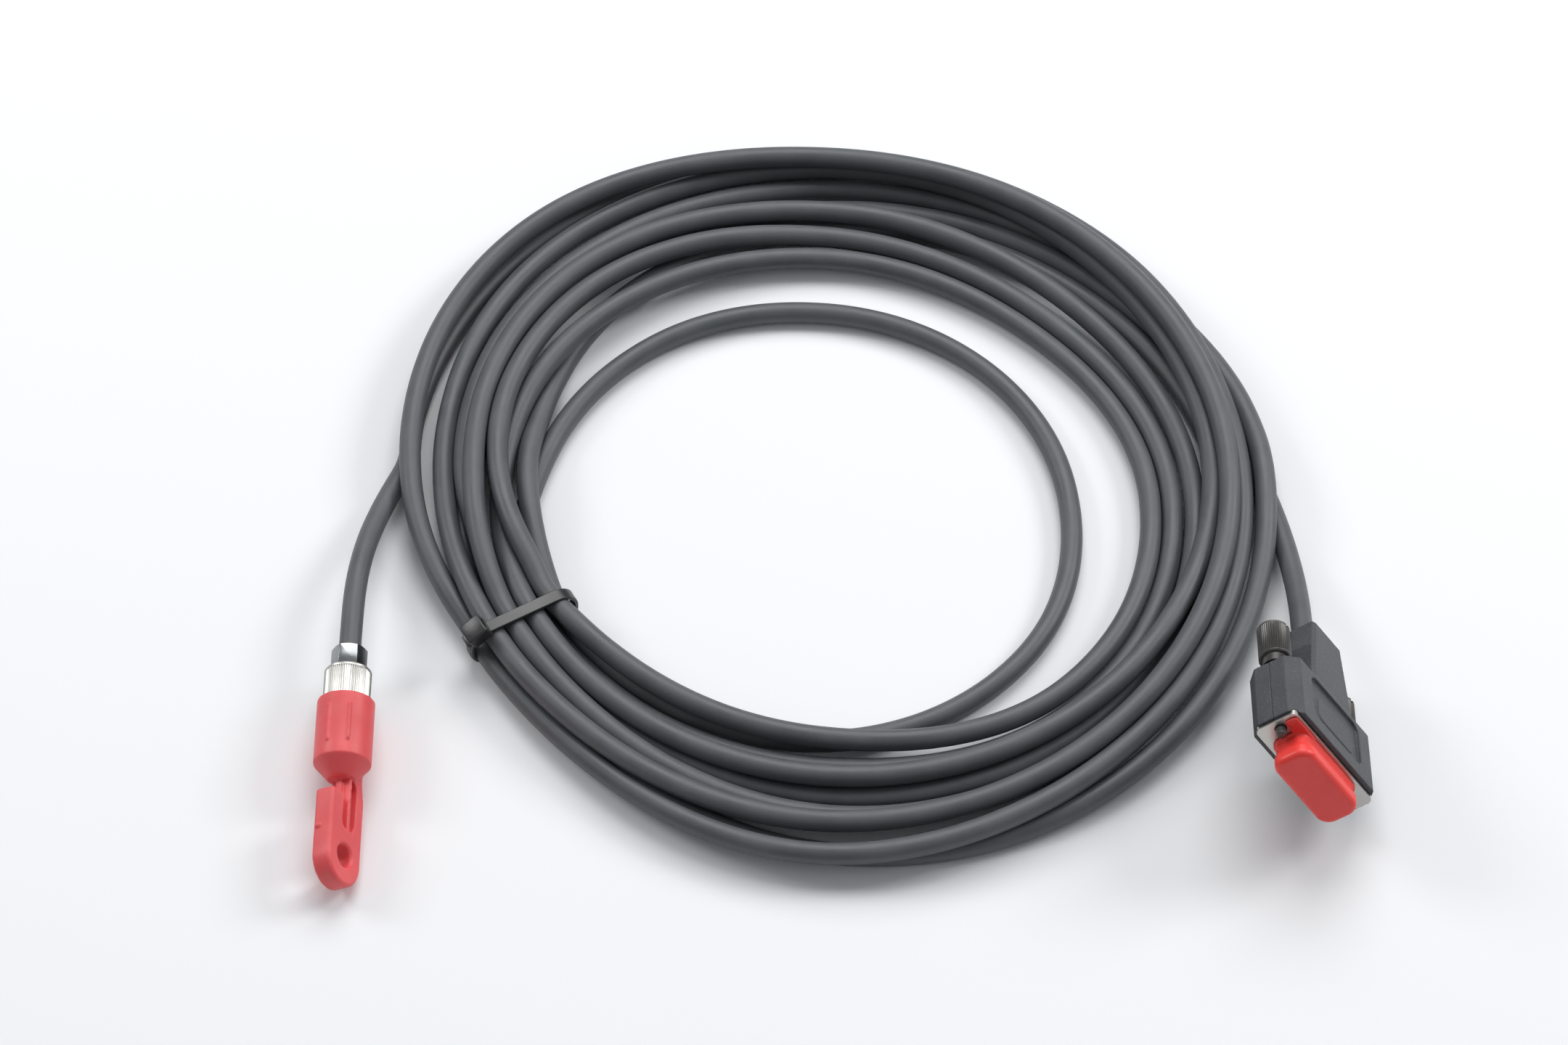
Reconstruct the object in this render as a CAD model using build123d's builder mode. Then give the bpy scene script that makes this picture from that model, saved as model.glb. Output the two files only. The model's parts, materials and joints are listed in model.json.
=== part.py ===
from build123d import *
from math import cos, pi, radians, sin, tan
import os

os.makedirs("parts", exist_ok=True)

# Sensor adapter cable: a 15-way D-sub plug and a small round plug on one long cable that lies
# coiled on a table, held by one cable tie. Millimetres, +Z up, the table is Z = 0. The origin is
# under the middle of the two plugs. Each plug is modelled upright in its own frame, with the cable
# coming in at Z = 0 and the mating end at the top, and is then set in its place on the table.

# ---- driving dimensions: cable ----
CABLE_D = 6.0
CABLE_R = CABLE_D / 2
CABLE_GAP = 0.1  # all round the cable in a hole that it passes through

# ---- driving dimensions: D-sub plug ----
FLANGE_WIDTH = 39.2
FLANGE_HEIGHT = 12.5
FLANGE_SHEET = 0.8
FLANGE_CORNER = 1.6
FLANGE_GAP = 0.15  # between the flange and its pocket in the hood
SCREW_SPACING = FLANGE_WIDTH - 5.9
SHELL_WIDTH = SCREW_SPACING - 8.6  # the D-shaped metal shell round the contacts
SHELL_HEIGHT = FLANGE_HEIGHT - 4.6
SHELL_SHEET = 0.5
SHELL_REACH = 6.0
SHELL_SLANT = 10.0  # degrees, of the D's sides
SHELL_CORNER = 2.2
REAR_CUP_REACH = 5.0

HOOD_BODY_WIDTH = FLANGE_WIDTH + 1.8
HOOD_BODY_THICKNESS = FLANGE_HEIGHT + 3.0
HOOD_BODY_DEPTH = 21.0
HOOD_CHAMFER = 3.2
HOOD_WALL = 1.8
BOOT_LENGTH = 24.0
BOOT_WIDTH_REAR = 13.6
BOOT_WIDTH_FRONT = 20.0
BOOT_THICKNESS = HOOD_BODY_THICKNESS - 0.5
BOOT_CHAMFER = 0.8
SEAM_GAP = 0.02  # between the two hood shells
PANEL_DEPTH = 0.9  # the scooped panel in the upper shell
PANEL_WIDTH = 24.0
PANEL_LENGTH = 15.0
PANEL_CORNER = 3.0
PANEL_FROM_SHOULDER = 1.5
PAD_WIDTH = 17.0
PAD_LENGTH = 8.0
PAD_HEIGHT = 0.4
PAD_CORNER = 2.0
PAD_SHIFT = 1.5  # of the pad's middle from the panel's

INSULATOR_GAP = 0.03
INSULATOR_BACK = 8.5  # behind the hood's front face
INSULATOR_SHY = 0.3  # below the shell's rim
CONTACT_R = 0.75
CONTACT_BORE_R = 0.52
CONTACT_BORE_DEPTH = 6.0
CONTACT_TAIL = 3.0
CONTACT_PITCH = 2.76
CONTACT_ROW_GAP = 2.84
CONTACTS_LONG_ROW = 8
CONTACT_GAP = 0.02

SCREW_HEAD_D = 8.8
SCREW_HEAD_LENGTH = 12.0
SCREW_COLLAR_D = 7.2  # plain, between the head and the hood
SCREW_COLLAR = 2.7
SCREW_HEAD_GAP = 1.0  # between the collar and the hood's shoulder
SCREW_HEAD_CHAMFER_REAR = 0.7
SCREW_HEAD_CHAMFER_FRONT = 0.4
SCREW_SHANK_R = 1.15  # thinner than the threaded tip, so that the clip keeps the screw in
SCREW_TIP_R = 1.42
SCREW_TIP = 2.6  # beyond the flange
SCREW_TIP_START = 0.1  # beyond the flange
SCREW_TIP_CHAMFER = 0.4
SCREW_SLOT = 1.0
SCREW_SLOT_DEPTH = 1.6
SCREW_HOLE_R = SCREW_TIP_R + 0.23
SCREW_CHANNEL_GAP = 0.25
CLIP_R = 2.7
CLIP_THICKNESS = 0.8
CLIP_GROOVE_R = SCREW_SHANK_R - 0.3
CLIP_GAP = 0.06
CLIP_MOUTH = 0.3  # how much narrower the clip's open side is than the groove
CLIP_WALL = 1.3  # of the hood between a clip's pocket and the wire space
CLIP_POCKET_GAP = 0.3
CLIP_POCKET_REAR = 6.5  # from the hood's shoulder
FLOAT = 3.0  # how far a thumbscrew slides back

FERRULE_R = CABLE_R + 0.9
FERRULE_LENGTH = 7.0
FERRULE_COLLAR_R = FERRULE_R + 1.2
FERRULE_COLLAR = 1.6
FERRULE_REAR = 3.5

DCAP_NECK_WALL = 0.9
DCAP_NECK_LENGTH = 4.4
DCAP_NECK_CORNER = 3.0
DCAP_BLOCK_WIDTH = SHELL_WIDTH + 2.8
DCAP_BLOCK_HEIGHT = SHELL_HEIGHT + 3.8
DCAP_BLOCK_LENGTH = 3.9
DCAP_BLOCK_CORNER = 4.0
DCAP_END_FILLET = 1.6
DCAP_END_WALL = 2.0
DCAP_LIP = 0.6
DCAP_LIP_SIDE = 0.8  # how far the lip stands out past the neck's ends
DCAP_LIP_FACE = 0.45  # and past its broad sides
DCAP_TONGUE_WIDTH = 3.8
DCAP_TONGUE_CORNER = 1.2
DCAP_TONGUE_ROOT = 8.0  # from the middle of the plug
DCAP_TONGUE_INSET = 0.5  # from the flange's long edge
DCAP_SCREW_GAP = 0.9
DCAP_GAP = 0.1
DCAP_STANDOFF = 0.05  # off the flange

# ---- driving dimensions: round plug ----
NUT_SPIGOT_R = CABLE_R + 0.85
NUT_SPIGOT = 2.4
HEX_FLATS = 2 * NUT_SPIGOT_R + 0.7
HEX_LENGTH = 6.2
HEX_CHAMFER = 0.4
HEX_CHAMFER_SIDE = 0.7
HEX_CHAMFER_START = 0.1
THREAD_GAP = 0.03
SLEEVE_R = NUT_SPIGOT_R + THREAD_GAP + 1.02
SLEEVE_LENGTH = 6.3
SEAL_LENGTH = 1.4
PINCH_LENGTH = 0.6
CARRIER_SPIGOT_R = NUT_SPIGOT_R - 0.45
CARRIER_NECK_R = CARRIER_SPIGOT_R + 0.6
CARRIER_NECK = 4.5
CARRIER_COLLAR_R = CARRIER_NECK_R + 0.55
CARRIER_COLLAR = 1.4
CARRIER_NOSE_R = CARRIER_NECK_R - 0.2
CARRIER_NOSE = 8.2
CARRIER_NOSE_CHAMFER = 0.3
CARRIER_BORE_R = CARRIER_SPIGOT_R - 0.5
RING_START = 6.6
RING_LENGTH = 19.4
RING_CHAMFER = 0.5
RING_SKIRT_WALL = 1.35
RING_THREAD_R = CARRIER_COLLAR_R + 0.15
RING_FIT = 0.1
FACE_SEAL_R = RING_THREAD_R - 0.2
FACE_SEAL = 1.0
FACE_SEAL_FILLET = 0.3
INSERT_LENGTH = 5.0
INSERT_REAR = 4.0  # from the front of the sleeve
PIN_R = 0.4
PIN_TIP_FILLET = 0.25
PIN_REACH = 4.2
PIN_TAIL = 2.5
PIN_CIRCLE_R = CARRIER_BORE_R - 0.95
PINS_ON_CIRCLE = 7

CAP_WALL = 1.32
CAP_RIM = 16.3  # from the back of the hexagon
CAP_LENGTH = 18.5
CAP_FIT = 0.08
CAP_STEP = 1.23  # how much narrower the bore is past the ring
CAP_GRIP = 11.2  # depth of the wide part of the bore
CAP_BORE_DEPTH = 16.5
CAP_CONE = 4.7
CAP_CONE_TAPER = 4.05  # how much the radius falls along the cone
CAP_RIB = 0.25
CAP_RIB_WIDTH = 0.8
CAP_RIB_LENGTH = 11.0
CAP_RIB_ANGLES = (47, 89, 227, 269)
TAB_WIDTH = 14.8
TAB_THICKNESS = 5.8
TAB_START = 28.7  # from the cap's rim
TAB_END = 54.5
TAB_NECK_LEFT = -1.2
TAB_NECK_RIGHT = 5.8
TAB_HOOK_DROP = 1.6  # of the hook's chamfered corner
TAB_HOOK_SIDE = 1.2
TAB_SHOULDER_UP = 1.5
TAB_SHOULDER_DOWN = 2.5
TAB_SHOULDER_SIDE = 0.6
TAB_HOLE_R = 3.1
TAB_HOLE_FROM_END = 8.4
TAB_EDGE = 0.7
TAB_GROOVE_WIDTH = 6.0
TAB_GROOVE_DEPTH = 2.0
TAB_GROOVE_LENGTH = 15.5
TAB_GROOVE_SHIFT = 0.6  # of the groove's middle to the neck's side
TAB_RIB_WIDTH = 1.1

# ---- driving dimensions: cable tie ----
TIE_BUNDLE_WIDTH = 30.4
TIE_BUNDLE_HEIGHT = 11.6
TIE_CORNER = 5.0
STRAP_WIDTH = 3.6
STRAP_THICKNESS = 1.1
TIE_HEAD_LENGTH = 6.2
TIE_HEAD_WIDTH = 6.2
TIE_HEAD_THICKNESS = 4.4
TIE_HEAD_ANGLE = 62.0
STRAP_END = 0.9  # of the cut strap, beyond the head
STRAP_END_OVERLAP = 1.0
STRAP_END_LIFT = 1.2  # of the cut strap's middle off the head's inner side
TIE_GAP = 0.3

# ---- places on the table ----
COIL_X = 12.0
COIL_Y = 8.0
TIE_BEARING = 209.5  # degrees, seen from above, about the coil's middle
TIE_RADIUS = 95.0

ROUND_BACK = (-116.4, -50.4, 12.34)  # middle of the hexagon's back face
ROUND_AXIS = (-0.016, -0.997, -0.076)
TAB_LEAN = (0.87, 0.05, 0.5)  # the tab's broad side faces this way

DSUB_BACK = (139.0, -51.35, 15.6)  # middle of the boot's back face
DSUB_AXIS = (-0.013, -0.974, 0.225)
DSUB_LONG = (0.572, -0.209, -0.793)  # from the top thumbscrew to the bottom one

FRAME_X = -15.1  # moves the middle of the two plugs onto the origin
FRAME_Y = 84.9


# ---- sizes worked out from the ones above ----
HOOD_LENGTH = BOOT_LENGTH + HOOD_BODY_DEPTH
FLANGE_FACE = HOOD_LENGTH + FLANGE_SHEET
SCREW_X = SCREW_SPACING / 2
CABLE_HOLE_R = CABLE_R + CABLE_GAP
CHANNEL_R = SCREW_TIP_R + SCREW_CHANNEL_GAP
SHELL_FRONT = FLANGE_FACE + SHELL_REACH
CAVITY_WIDTH = 2 * (SCREW_X - CLIP_R - CLIP_POCKET_GAP - CLIP_WALL)
CAVITY_HEIGHT = HOOD_BODY_THICKNESS - 2 * HOOD_WALL
CAVITY_REAR = FERRULE_REAR + FERRULE_LENGTH
POCKET_REAR = BOOT_LENGTH + CLIP_POCKET_REAR
PANEL_MIDDLE = BOOT_LENGTH + PANEL_FROM_SHOULDER + PANEL_LENGTH / 2
CLIP_REAR = POCKET_REAR + FLOAT + CLIP_POCKET_GAP
SCREW_COLLAR_FRONT = BOOT_LENGTH - SCREW_HEAD_GAP
SCREW_REAR = SCREW_COLLAR_FRONT - SCREW_COLLAR - SCREW_HEAD_LENGTH
SLEEVE_FRONT = HEX_LENGTH + SLEEVE_LENGTH
COLLAR_REAR = SLEEVE_FRONT + CARRIER_NECK
NOSE_REAR = COLLAR_REAR + CARRIER_COLLAR
NOSE_FRONT = NOSE_REAR + CARRIER_NOSE
RING_R = SLEEVE_R + RING_FIT + RING_SKIRT_WALL
CAP_BORE_R = RING_R + CAP_FIT
CAP_R = CAP_BORE_R + CAP_WALL
CAP_INNER_R = CAP_BORE_R - CAP_STEP
CAP_CONE_R = CAP_R - CAP_CONE_TAPER


def placed(origin, x_dir, z_dir):
    """The frame at an origin whose Z runs along z_dir and whose X leans as near to x_dir as it can."""
    along = Vector(*z_dir).normalized()
    side = Vector(*x_dir)
    side = (side - along * side.dot(along)).normalized()
    shifted = Vector(*origin) + Vector(FRAME_X, FRAME_Y, 0)
    return Plane(origin=shifted, x_dir=side, z_dir=along)


def save(piece, name, frame=Plane.XY):
    """Labels a finished piece, sets it in its frame and writes its STEP file."""
    piece.part.label = name
    piece.part.locate(frame.location)
    export_step(piece.part, f"parts/{name}.step")


def d_points(width, height):
    """The corners of a D-sub shell's D: wide at +Y, with both sides leaning in towards -Y."""
    lean = height * tan(radians(SHELL_SLANT))
    return (
        (-width / 2, height / 2),
        (width / 2, height / 2),
        (width / 2 - lean, -height / 2),
        (-width / 2 + lean, -height / 2),
    )


def hood_points():
    """The corners of the hood seen from its broad side, with the boot below and the body above."""
    body = HOOD_BODY_WIDTH / 2
    front = BOOT_WIDTH_FRONT / 2
    rear = BOOT_WIDTH_REAR / 2
    return (
        (-rear, 0),
        (rear, 0),
        (front, BOOT_LENGTH),
        (body, BOOT_LENGTH),
        (body, HOOD_LENGTH),
        (-body, HOOD_LENGTH),
        (-body, BOOT_LENGTH),
        (-front, BOOT_LENGTH),
    )


# ---- D-sub plug: X from the top thumbscrew to the bottom one, Z towards the mating face ----
DSUB = placed(DSUB_BACK, DSUB_LONG, DSUB_AXIS)

# The hood is two shells that meet on the middle plane. Each is a half block with chamfered ends,
# hollowed for the wires, with half of the cable hole and half of each screw's channel and pocket.
for side, shell_name in ((1, "dsub_hood_upper"), (-1, "dsub_hood_lower")):
    with BuildPart() as hood:
        with BuildSketch(Plane.XZ):
            with BuildLine():
                Polyline(*hood_points(), close=True)
            make_face()
        extrude(amount=-side * HOOD_BODY_THICKNESS / 2)
        with BuildSketch(Plane.XY):
            Rectangle(2 * HOOD_BODY_WIDTH, HOOD_BODY_THICKNESS)
            Rectangle(2 * HOOD_BODY_WIDTH, BOOT_THICKNESS, mode=Mode.SUBTRACT)
        extrude(amount=BOOT_LENGTH, mode=Mode.SUBTRACT)
        long_edges = hood.edges().filter_by(Axis.Z)
        body_ends = long_edges.filter_by(lambda e: abs(e.center().X) > HOOD_BODY_WIDTH / 2 - 0.1)
        body_corners = body_ends.filter_by(lambda e: side * e.center().Y > 1)
        chamfer(body_corners, HOOD_CHAMFER)
        outer_y = side * BOOT_THICKNESS / 2
        boot_faces = hood.faces().filter_by(lambda f: abs(f.center().Y - outer_y) < 0.01)
        boot_edges = boot_faces.edges().filter_by(lambda e: e.center().Z < BOOT_LENGTH - 0.5)
        chamfer(boot_edges, BOOT_CHAMFER)
        # flange pocket, wire space, ferrule seat and cable hole
        with BuildSketch(Plane.XY.offset(HOOD_LENGTH - FLANGE_SHEET)):
            RectangleRounded(
                FLANGE_WIDTH + 2 * FLANGE_GAP, FLANGE_HEIGHT + 2 * FLANGE_GAP, FLANGE_CORNER
            )
        extrude(amount=FLANGE_SHEET, mode=Mode.SUBTRACT)
        with BuildSketch(Plane.XY.offset(BOOT_LENGTH + HOOD_WALL)):
            Rectangle(CAVITY_WIDTH, CAVITY_HEIGHT)
        extrude(amount=HOOD_BODY_DEPTH, mode=Mode.SUBTRACT)
        with BuildSketch(Plane.XY.offset(CAVITY_REAR)):
            Rectangle(2 * FERRULE_COLLAR_R, 2 * FERRULE_COLLAR_R)
        extrude(amount=BOOT_LENGTH, mode=Mode.SUBTRACT)
        with BuildSketch(Plane.XY):
            Circle(CABLE_HOLE_R)
        extrude(amount=CAVITY_REAR + 1, mode=Mode.SUBTRACT)
        with BuildSketch(Plane.XY.offset(FERRULE_REAR)):
            Circle(FERRULE_R)
        extrude(amount=FERRULE_LENGTH + 1, mode=Mode.SUBTRACT)
        with BuildSketch(Plane.XY.offset(FERRULE_REAR + FERRULE_LENGTH - FERRULE_COLLAR)):
            Circle(FERRULE_COLLAR_R)
        extrude(amount=FERRULE_COLLAR + 1, mode=Mode.SUBTRACT)
        # thumbscrew channels, each with the pocket that holds its clip
        with BuildSketch(Plane.XY.offset(BOOT_LENGTH)):
            with Locations((-SCREW_X, 0), (SCREW_X, 0)):
                Circle(CHANNEL_R)
        extrude(amount=HOOD_BODY_DEPTH, mode=Mode.SUBTRACT)
        with BuildSketch(Plane.XY.offset(POCKET_REAR)):
            with Locations((-SCREW_X, 0), (SCREW_X, 0)):
                Circle(CLIP_R + CLIP_POCKET_GAP)
        extrude(amount=FLOAT + CLIP_THICKNESS + 2 * CLIP_POCKET_GAP, mode=Mode.SUBTRACT)
        if side > 0:
            # scooped panel with a plain raised pad
            with BuildSketch(Plane.XZ.offset(-HOOD_BODY_THICKNESS / 2)):
                with Locations((0, PANEL_MIDDLE)):
                    RectangleRounded(PANEL_WIDTH, PANEL_LENGTH, PANEL_CORNER)
            extrude(amount=PANEL_DEPTH, mode=Mode.SUBTRACT)
            with BuildSketch(Plane.XZ.offset(PANEL_DEPTH - HOOD_BODY_THICKNESS / 2)):
                with Locations((0, PANEL_MIDDLE + PAD_SHIFT)):
                    RectangleRounded(PAD_WIDTH, PAD_LENGTH, PAD_CORNER)
            extrude(amount=-PAD_HEIGHT)
        # the seam
        with Locations((0, 0, HOOD_LENGTH / 2)):
            Box(HOOD_BODY_WIDTH, SEAM_GAP, HOOD_LENGTH, mode=Mode.SUBTRACT)
    save(hood, shell_name, DSUB)

shell_inside = d_points(SHELL_WIDTH - 2 * SHELL_SHEET, SHELL_HEIGHT - 2 * SHELL_SHEET)
with BuildPart() as front_flange:
    with BuildSketch(Plane.XY.offset(HOOD_LENGTH)):
        RectangleRounded(FLANGE_WIDTH, FLANGE_HEIGHT, FLANGE_CORNER)
        with Locations((-SCREW_X, 0), (SCREW_X, 0)):
            Circle(SCREW_HOLE_R, mode=Mode.SUBTRACT)
    extrude(amount=FLANGE_SHEET)
    with BuildSketch(Plane.XY.offset(HOOD_LENGTH)):
        with BuildLine():
            FilletPolyline(*d_points(SHELL_WIDTH, SHELL_HEIGHT), radius=SHELL_CORNER, close=True)
        make_face()
    extrude(amount=FLANGE_SHEET + SHELL_REACH)
    with BuildSketch(Plane.XY.offset(HOOD_LENGTH)):
        with BuildLine():
            FilletPolyline(*shell_inside, radius=SHELL_CORNER - SHELL_SHEET, close=True)
        make_face()
    extrude(amount=FLANGE_SHEET + SHELL_REACH, mode=Mode.SUBTRACT)
save(front_flange, "dsub_front_flange", DSUB)

with BuildPart() as rear_flange:
    with BuildSketch(Plane.XY.offset(HOOD_LENGTH - FLANGE_SHEET)):
        RectangleRounded(FLANGE_WIDTH, FLANGE_HEIGHT, FLANGE_CORNER)
        with Locations((-SCREW_X, 0), (SCREW_X, 0)):
            Circle(SCREW_HOLE_R, mode=Mode.SUBTRACT)
    extrude(amount=FLANGE_SHEET)
    with BuildSketch(Plane.XY.offset(HOOD_LENGTH - FLANGE_SHEET)):
        with BuildLine():
            FilletPolyline(*d_points(CAVITY_WIDTH - 1, CAVITY_HEIGHT - 1), radius=SHELL_CORNER, close=True)
        make_face()
    extrude(amount=-REAR_CUP_REACH)
    with BuildSketch(Plane.XY.offset(HOOD_LENGTH)):
        with BuildLine():
            FilletPolyline(*shell_inside, radius=SHELL_CORNER - SHELL_SHEET, close=True)
        make_face()
    extrude(amount=-FLANGE_SHEET - REAR_CUP_REACH, mode=Mode.SUBTRACT)
save(rear_flange, "dsub_rear_flange", DSUB)

# Fifteen socket contacts in two rows, the long one on the wide side of the D.
long_row = [((i - (CONTACTS_LONG_ROW - 1) / 2) * CONTACT_PITCH, 1) for i in range(CONTACTS_LONG_ROW)]
short_row = [((i - (CONTACTS_LONG_ROW - 2) / 2) * CONTACT_PITCH, -1) for i in range(CONTACTS_LONG_ROW - 1)]
contact_places = [(x, row * CONTACT_ROW_GAP / 2) for x, row in long_row + short_row]
INSULATOR_REAR = HOOD_LENGTH - INSULATOR_BACK
INSULATOR_FRONT = SHELL_FRONT - INSULATOR_SHY

with BuildPart() as insulator:
    with BuildSketch(Plane.XY.offset(INSULATOR_REAR)):
        inward = 2 * (SHELL_SHEET + INSULATOR_GAP)
        with BuildLine():
            FilletPolyline(
                *d_points(SHELL_WIDTH - inward, SHELL_HEIGHT - inward),
                radius=SHELL_CORNER - inward / 2,
                close=True,
            )
        make_face()
        with Locations(*contact_places):
            Circle(CONTACT_R + CONTACT_GAP, mode=Mode.SUBTRACT)
    extrude(amount=INSULATOR_FRONT - INSULATOR_REAR)
save(insulator, "dsub_insulator", DSUB)

for number, (x, y) in enumerate(contact_places, start=1):
    with BuildPart() as contact:
        with BuildSketch(Plane.XY.offset(INSULATOR_REAR - CONTACT_TAIL)):
            with Locations((x, y)):
                Circle(CONTACT_R)
        extrude(amount=INSULATOR_FRONT - INSULATOR_REAR + CONTACT_TAIL - INSULATOR_SHY)
        with BuildSketch(Plane.XY.offset(INSULATOR_FRONT - INSULATOR_SHY)):
            with Locations((x, y)):
                Circle(CONTACT_BORE_R)
        extrude(amount=-CONTACT_BORE_DEPTH, mode=Mode.SUBTRACT)
    save(contact, f"dsub_contact_{number:02d}", DSUB)

with BuildPart() as ferrule:
    with BuildSketch(Plane.XY.offset(FERRULE_REAR)):
        Circle(FERRULE_R)
    extrude(amount=FERRULE_LENGTH)
    with BuildSketch(Plane.XY.offset(FERRULE_REAR + FERRULE_LENGTH)):
        Circle(FERRULE_COLLAR_R)
    extrude(amount=-FERRULE_COLLAR)
    with BuildSketch(Plane.XY.offset(FERRULE_REAR)):
        Circle(CABLE_R)
    extrude(amount=FERRULE_LENGTH, mode=Mode.SUBTRACT)
save(ferrule, "dsub_ferrule", DSUB)

# Each thumbscrew is held by an open clip in a groove of its shank. The clip slides in its pocket.
for place, x in (("top", -SCREW_X), ("bottom", SCREW_X)):
    with BuildPart() as clip:
        with BuildSketch(Plane.XY.offset(CLIP_REAR)):
            with Locations((x, 0)):
                Circle(CLIP_R)
                Circle(CLIP_GROOVE_R + CLIP_GAP, mode=Mode.SUBTRACT)
            with Locations((x, CLIP_R / 2)):
                Rectangle(2 * CLIP_GROOVE_R - CLIP_MOUTH, CLIP_R, mode=Mode.SUBTRACT)
        extrude(amount=CLIP_THICKNESS)
    save(clip, f"dsub_clip_{place}", DSUB)

    with BuildPart() as thumbscrew:
        with BuildSketch(Plane.XY.offset(SCREW_REAR)):
            with Locations((x, 0)):
                Circle(SCREW_HEAD_D / 2)
        extrude(amount=SCREW_HEAD_LENGTH)
        chamfer(thumbscrew.edges().group_by(Axis.Z)[0], SCREW_HEAD_CHAMFER_REAR)
        chamfer(thumbscrew.edges().group_by(Axis.Z)[-1], SCREW_HEAD_CHAMFER_FRONT)
        with BuildSketch(Plane.XY.offset(SCREW_REAR)):
            with Locations((x, 0)):
                Rectangle(SCREW_SLOT, SCREW_HEAD_D)
        extrude(amount=SCREW_SLOT_DEPTH, mode=Mode.SUBTRACT)
        with BuildSketch(Plane.XY.offset(SCREW_COLLAR_FRONT - SCREW_COLLAR)):
            with Locations((x, 0)):
                Circle(SCREW_COLLAR_D / 2)
        extrude(amount=SCREW_COLLAR)
        with BuildSketch(Plane.XY.offset(SCREW_COLLAR_FRONT)):
            with Locations((x, 0)):
                Circle(SCREW_SHANK_R)
        extrude(amount=FLANGE_FACE + SCREW_TIP_START - SCREW_COLLAR_FRONT)
        with BuildSketch(Plane.XY.offset(FLANGE_FACE + SCREW_TIP_START)):
            with Locations((x, 0)):
                Circle(SCREW_TIP_R)
        extrude(amount=SCREW_TIP - SCREW_TIP_START)
        chamfer(thumbscrew.edges().group_by(Axis.Z)[-1], SCREW_TIP_CHAMFER)
        with BuildSketch(Plane.XY.offset(CLIP_REAR - CLIP_GAP)):
            with Locations((x, 0)):
                Circle(SCREW_HEAD_D / 2)
                Circle(CLIP_GROOVE_R, mode=Mode.SUBTRACT)
        extrude(amount=CLIP_THICKNESS + 2 * CLIP_GAP, mode=Mode.SUBTRACT)
    save(thumbscrew, f"dsub_thumbscrew_{place}", DSUB)

# The soft cap over the D-shaped shell: a neck that grips it, a fatter block to pull, and a lip with
# a tongue beside the top thumbscrew.
cap_bore = 2 * DCAP_GAP
neck_width = SHELL_WIDTH + cap_bore + 2 * DCAP_NECK_WALL
neck_height = SHELL_HEIGHT + cap_bore + 2 * DCAP_NECK_WALL
DCAP_REAR = FLANGE_FACE + DCAP_STANDOFF
with BuildPart() as dsub_cap:
    with BuildSketch(Plane.XY.offset(DCAP_REAR)):
        RectangleRounded(neck_width, neck_height, DCAP_NECK_CORNER)
    extrude(amount=DCAP_NECK_LENGTH)
    with BuildSketch(Plane.XY.offset(DCAP_REAR + DCAP_NECK_LENGTH)):
        RectangleRounded(DCAP_BLOCK_WIDTH, DCAP_BLOCK_HEIGHT, DCAP_BLOCK_CORNER)
    extrude(amount=DCAP_BLOCK_LENGTH)
    fillet(dsub_cap.edges().group_by(Axis.Z)[-1], DCAP_END_FILLET)
    with BuildSketch(Plane.XY.offset(DCAP_REAR)):
        tongue_end = SCREW_X + DCAP_TONGUE_WIDTH / 2
        tongue_x = -(tongue_end + DCAP_TONGUE_ROOT) / 2
        tongue_y = FLANGE_HEIGHT / 2 - DCAP_TONGUE_WIDTH / 2 - DCAP_TONGUE_INSET
        with Locations((tongue_x, tongue_y)):
            RectangleRounded(tongue_end - DCAP_TONGUE_ROOT, DCAP_TONGUE_WIDTH, DCAP_TONGUE_CORNER)
        RectangleRounded(
            neck_width + 2 * DCAP_LIP_SIDE,
            neck_height + 2 * DCAP_LIP_FACE,
            DCAP_NECK_CORNER + DCAP_LIP_FACE,
        )
        with Locations((-SCREW_X, 0), (SCREW_X, 0)):
            Circle(SCREW_TIP_R + DCAP_SCREW_GAP, mode=Mode.SUBTRACT)
    extrude(amount=DCAP_LIP)
    with BuildSketch(Plane.XY.offset(DCAP_REAR)):
        with BuildLine():
            FilletPolyline(
                *d_points(SHELL_WIDTH + cap_bore, SHELL_HEIGHT + cap_bore), radius=SHELL_CORNER, close=True
            )
        make_face()
    extrude(amount=DCAP_NECK_LENGTH + DCAP_BLOCK_LENGTH - DCAP_END_WALL, mode=Mode.SUBTRACT)
save(dsub_cap, "dsub_cap", DSUB)

# ---- round plug: Z towards the mating face, from the back of the hexagon ----
ROUND = placed(ROUND_BACK, (1, 0, 0), ROUND_AXIS)
NUT_FRONT = HEX_LENGTH + NUT_SPIGOT
SEAL_FRONT = NUT_FRONT + SEAL_LENGTH
ROUND_CABLE_END = SEAL_FRONT + PINCH_LENGTH
SLEEVE_BORE_R = NUT_SPIGOT_R + THREAD_GAP

with BuildPart() as clamp_nut:
    with BuildSketch(Plane.XY):
        RegularPolygon(HEX_FLATS / 2, 6, major_radius=False)
    extrude(amount=HEX_LENGTH)
    with BuildSketch(Plane.XZ):
        with BuildLine():
            Polyline(
                (HEX_FLATS / 2 - HEX_CHAMFER_START, 0),
                (HEX_FLATS, 0),
                (HEX_FLATS, HEX_LENGTH),
                (HEX_FLATS / 2 + HEX_CHAMFER_SIDE, HEX_CHAMFER),
                close=True,
            )
        make_face()
    revolve(axis=Axis.Z, mode=Mode.SUBTRACT)
    with BuildSketch(Plane.XY.offset(HEX_LENGTH)):
        Circle(NUT_SPIGOT_R)
    extrude(amount=NUT_SPIGOT)
    with BuildSketch(Plane.XY):
        Circle(CABLE_HOLE_R)
    extrude(amount=NUT_FRONT, mode=Mode.SUBTRACT)
save(clamp_nut, "round_clamp_nut", ROUND)

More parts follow.
